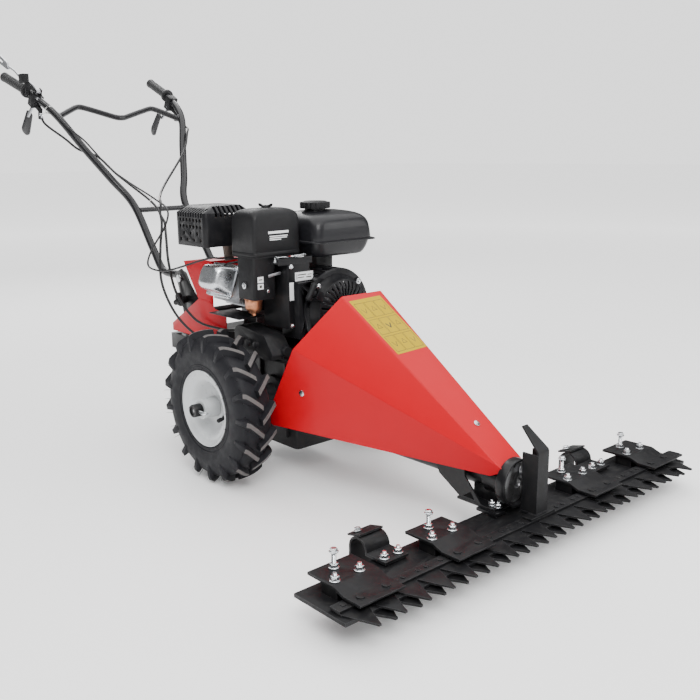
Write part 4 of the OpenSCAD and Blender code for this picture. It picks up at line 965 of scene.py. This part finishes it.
def lever_hub(side, along, above):
    """Centre of a lever's pin, along and above the mount under the grip's inner end."""
    c, s = cos(MOUNT_LEAN), sin(MOUNT_LEAN)
    return vec(GRIP.x + 44 + c * along + s * above, side * (GRIP.y - 9), GRIP.z - 24 + c * above - s * along)


def add_handle_tubes():
    for side, word in ((-1, "right"), (1, "left")):
        s = Shape()
        s.sweep(spline([on_side(side, p) for p in HANDLE_ROUTE], 10), 12.5, 30)
        near = 98 if side > 0 else -107.6
        # Hinge plate, with a curved slot for the clamp and a hole for the pin
        outline = circle_hull([(PIVOT.x, PIVOT.z, 22), (-430, 434, 16), (-401, 448, 16), (-476, 512, 12)], 36)
        slot = []
        for r, sweep in ((79.0, range(-17, 18, 2)), (64.2, range(17, -18, -2))):
            for a in sweep:
                b = atan2(KNOB.z - PIVOT.z, KNOB.x - PIVOT.x) - radians(a)
                slot.append((PIVOT.x + r * cos(b), PIVOT.z + r * sin(b)))
        s.prism(outline, standing(near), 9.6, holes=(slot, circle(24, 8.06, PIVOT.x, PIVOT.z)))
        s.build(f"handle_tube_{word}_bent", "tube_black", "handlebar", replaces=f"handle_tube_{word}",
            sharp=40, round_by=0.8)
    half = [(-986, 240, 1018), (-998, 211, 1030), (-1016, 167, 1049), (-1023, 148, 1055), (-1021, 130, 1054),
        (-1011, 90, 1043), (-998, 33, 1026), (-993, 14, 1021), (-992, 0, 1020)]
    s = Shape()
    s.sweep(spline([on_side(-1, p) for p in half] + half[-2::-1], 10), 10, 26)
    a, b = (on_side(side, ELBOW + CROSSBAR) for side in (-1, 1))
    s.sweep([a + (b - a) * k / 8 for k in range(9)], 9, 24)
    # Weld beads
    for side in (-1, 1):
        foot = on_side(side, BRACE) + vec(0, -8 * side, -8)
        toward = on_side(side, half[1]) - foot
        s.turned([(2, 12.2), (5, 12.8), (8, 11.6), (10.5, 10.1)], foot, toward, 26)
        s.turned([(0, 11.4), (3, 12), (6, 10.6), (8.4, 9.1)], on_side(side, ELBOW + CROSSBAR), (0, -side, 0), 26)
    s.build("cross_braces_bent", "tube_black", "handlebar", replaces="cross_braces", sharp=50)


def add_grips():
    s = Shape()
    profile = [(-8, 13), (-8, 21), (-7.2, 23), (-5.6, 24), (2.2, 24), (3.6, 23), (4.2, 21), (4.4, 15.2)]
    for i in range(1, 13):
        d = 12 * i
        profile += [(d - 1.4, 15.2), (d - 0.4, 16), (d + 0.6, 16.4), (d + 3.2, 16.4), (d + 4.2, 16), (d + 5.2, 15.2)]
    profile += [(155, 15.4), (156.4, 17), (158, 17.4), (161, 17.4), (162.4, 16.4), (163, 14), (163.2, 0.1)]
    inner = [(150, 0.1), (150, 12.7), (-8, 12.7)]
    for side in (-1, 1):
        s.turned(profile + inner, on_side(side, GRIP), on_side(side, GRIP_RUN), 40)
    s.build("ribbed_grips", "grip_rubber", "handlebar", replaces="handle_grips", sharp=48)


def add_hand_levers():
    for side, node, body in ((-1, "clutch_lever", "clutch_hand_lever"), (1, "drive_lever", "drive_hand_lever")):
        hub = lever_hub(side, 0, -23)
        pad = Shape()
        face = vec(0.26, 0.966 * side, 0)
        down = vec(-0.64, 0, -0.77)
        down = (down - face * down.dot(face)).normalized()
        across = down.cross(face)
        centre = hub + vec(-100, -13 * side, -62)
        outline = circle_hull([(-6, -40, 8), (6, -40, 8), (-4, 30, 17), (4, 30, 17)], 40)
        # The pad's layers shrink towards its faces, and its upper end curls away from the grip
        layers = ((-5.5, 0.14), (-4.6, 0.05), (-2.5, 0), (2.5, 0), (4.6, 0.05), (5.5, 0.14))
        pad.rings([[centre + across * u * (1 - shrink * 0.8) + down * v * (1 - shrink * 0.5)
             + face * (lift + 12 * max(0, -v / 46) ** 1.4 - 3 * max(0, v / 46) ** 2) for u, v in outline]
            for lift, shrink in layers])
        pad.build(node + "_pad", "lever_grey", body, replaces=node, sharp=60)
        arm = Shape()
        plate = [(-6, 5), (0, 6.8), (6, 3), (5, -4), (-4, -7), (-62, -44), (-70, -42), (-66, -33), (-58, -29)]
        arm.prism(plate, lambda u, v, w, hub=hub: hub + vec(u, w - 3, v), 6)
        arm.turned([(-16.4, 1.5), (-16.2, 2.9), (16.2, 2.9), (16.4, 1.5)], hub, LEFT, 20)
        arm.turned([(-7, 6), (-6.4, 7), (6.4, 7), (7, 6)], hub, LEFT, 28)
        arm.build(node + "_arm", "lever_silver", body, round_by=0.7)
        # Cable adjuster on the mount's arm
        adjust = Shape()
        seat = hub + vec(44, 0, -34)
        aim = vec(0.62, 0, -0.78)
        adjust.thread(seat - aim * 2, aim, 16, 4.2, 1.2)
        adjust.turned([(4, 5), (4.4, 6.6), (9, 6.6), (9.4, 5)], seat, aim, 20)
        adjust.build(node + "_adjuster", "zinc", "handlebar", sharp=30)


def add_throttle():
    hub = lever_hub(-1, 14, 28)
    route = [(0, 0, 0), (-35, -2, 24), (-75, -6, 40), (-115, -11, 56), (-153, -15, 80), (-202, -21, 100)]
    s = Shape()
    path = spline(route, 8)
    last = len(path) - 1
    s.sweep([hub + p for p in path], [4.6 - 1.4 * i / last for i in range(last + 1)], 18)
    s.turned([(-11.4, 2), (-11.2, 2.9), (11.2, 2.9), (11.4, 2)], hub, LEFT, 20)
    s.turned([(-7.4, 8), (-6.8, 9), (6.8, 9), (7.4, 8)], hub, LEFT, 30)
    fork = [(-184, 86), (-196, 86), (-262, 112), (-269, 120), (-268, 126), (-232, 112), (-228, 115), (-230, 118),
        (-266, 133), (-264, 139), (-257, 142), (-192, 110)]
    s.prism(fork, lambda u, v, w: hub + vec(u, -24 + w, v), 6)
    s.build("throttle_rod", "lever_silver", "throttle", replaces="throttle_lever", sharp=40, round_by=0.6)


CABLE_ROUTES = {
    "throttle_cable": (3, [
        (-1052.7, -281, 1084.6), (-1020, -276, 1070), (-975, -262, 1040), (-920, -234, 982), (-872, -200, 936),
        (-800, -158, 852), (-705, -142, 806), (-531, -142, 754), (-430, -156, 724), (-395, -188, 676),
        (-470, -196, 600), (-500, -196, 552), (-456, -194, 538), (-370, -192, 546), (-174, -184, 596),
        (-110, -181, 603), (-50, -150, 604.5), (-14, -120, 604.5), (1, -120, 604.5)]),
    "clutch_cable": (4, [
        (-1050.5, -269, 1026), (-1025, -268, 996), (-957, -232, 946), (-935, -196, 910), (-876, -158, 886),
        (-802, -132, 830), (-709, -128, 792), (-560, -130, 736), (-480, -150, 690), (-455, -174, 600),
        (-430, -190, 500), (-350, -192, 410), (-240, -186, 358), (-150, -170, 348), (-106, -142, 351),
        (-80, -142, 351)]),
    "drive_cable": (4, [
        (-1050.5, 269, 1026), (-1022, 268, 1000), (-965, 260, 985), (-915, 227, 966), (-839, 160, 896),
        (-706, 0, 790), (-600, -82, 756), (-548, -110, 736), (-534, -122, 704), (-493, -132, 680),
        (-440, -160, 640), (-405, -176, 560), (-370, -174, 470), (-270, -172, 402), (-150, -164, 390),
        (-96, -150, 392), (-76.8, -150, 392)]),
}


def add_cables():
    for name, (r, route) in CABLE_ROUTES.items():
        s = Shape()
        path = spline(route, 9)
        s.sweep(path, r, 16)
        # Pressed ferrules at both ends
        s.mark = 1
        for tip, inner in ((path[0], path[1]), (path[-1], path[-2])):
            s.turned([(-14, r + 0.3), (-13.4, r + 1.1), (-1.4, r + 1.1), (-0.4, r + 0.4)], tip, tip - inner, 20)
        cable = s.build(name + "_sheath", "cable_black", None, replaces=name, sharp=50, extra=(finishes["zinc"],))
        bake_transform(cable)


def tie(name, body, centre, along, r):
    """Narrow cable tie with its head and a short tail."""
    centre, along = Vector(centre), Vector(along).normalized()
    s = Shape()
    half = 1.8
    s.turned([(-half, r), (-half, r + 1.3), (half, r + 1.3), (half, r)], centre, along, 28, closed=True)
    side, other = sideways(along)
    head = centre + side * (r + 2)
    s.prism(oblong(-3, -3.4, 3, 3.4), lambda u, v, w: head + side * (w - 1.5) + along * v * 0.7 + other * u, 4.4)
    s.prism(oblong(-1.6, 0, 1.6, 17),
        lambda u, v, w: head + side * (v * 0.8 + 1) + other * (v * 0.5 + w - 0.5) + along * u, 1.0)
    s.build(name, "cable_black", body, material=tie_white, sharp=40)


def add_ties():
    tie("tie_upper", "handlebar", (-1010, -254, 1043), (-0.6, 0.2, 0.5), 14.6)
    tie("tie_cables", "handlebar", (-562, -123, 742), (0.9, -0.1, -0.3), 17)


def add_knob():
    s = Shape()
    lobes = [17.4 + 8.8 * cos(3 * tau * k / 48) for k in range(48)]
    levels = ((-151, 0.72), (-150.4, 0.84), (-148, 0.95), (-144, 1.0), (-139, 1.0), (-135.6, 0.95), (-133.6, 0.84),
        (-133, 0.7))
    s.rings([[vec(KNOB.x + v * r * size, y, KNOB.z + u * r * size) for (u, v), r in zip(circle(48), lobes)]
        for y, size in levels])
    s.turned([(0, 10), (0.6, 11), (18.4, 11), (19.6, 9.6)], (KNOB.x, -134, KNOB.z), LEFT, 32)
    s.turned([(0, 5.8), (18, 5.8), (18.6, 5)], (KNOB.x, -114.6, KNOB.z), LEFT, 24)
    s.build("clamp_knob", "black_plastic", "knob", replaces="lock_knob", sharp=50)


# ---- Cutter bar fasteners ----

# Places of the clamps and skid shoes along the bar
CLAMPS_Y, SHOE_Y = (-516, -245, 245, 516), 378
BOLT_R = 4.9


def add_bar_bolts():
    s = Shape()

    def shank(x, y, foot, length):
        s.turned([(0, BOLT_R), (length, BOLT_R)], (x, y, foot), UP, 20)

    for y in CLAMPS_Y:
        for d in (-42, 22):
            s.bolt((812, y + d, 98), UP, 16, 9, 11, 7)
            shank(812, y + d, 62, 32)
        # Long stud with a collar and a nut near its top
        stud = 770, y - 8
        s.bolt((*stud, 98), UP, 16, 8, 11)
        s.thread((*stud, 68.2), UP, 62, 5.1)
        s.turned([(0, 9.4), (1, 10), (2.4, 10), (3, 9)], (*stud, 131), UP, 28)
        s.bolt((*stud, 131.8), UP, 14, 6, 7)
    lean = radians(-14)
    axis = vec(sin(lean), 0, cos(lean))
    for side in (-1, 1):
        for d in (-20, 20):
            s.bolt((782, side * SHOE_Y + d, 80), UP, 16, 8, 11, 6)
            shank(782, side * SHOE_Y + d, 64.4, 16)
        s.bolt(vec(698, side * SHOE_Y - 16, 108) + axis * 2.6, axis, 13, 6, 9)
    for x in FOOT_BOLTS_X:
        for y in FOOT_BOLTS_Y:
            s.bolt((x, y, 86), UP, 16, 8, 10, 5)
            shank(x, y, 62.6, 24)
    s.build("bar_fasteners", "zinc", replaces="bar_bolts", sharp=28)


add_camera()
add_stage()
dress_cad_nodes()
for side, word in ((-1, "right"), (1, "left")):
    tyre(side, word)
    rim(side, word)
add_hood()
add_drive_tube()
add_head_plates()
add_knife_driver()
add_decal()
add_tank()
add_filter_cover()
add_valve_cover()
add_labels()
add_engine_trim()
add_recoil_handle()
add_handle_tubes()
add_grips()
add_hand_levers()
add_throttle()
add_cables()
add_ties()
add_knob()
add_bar_bolts()
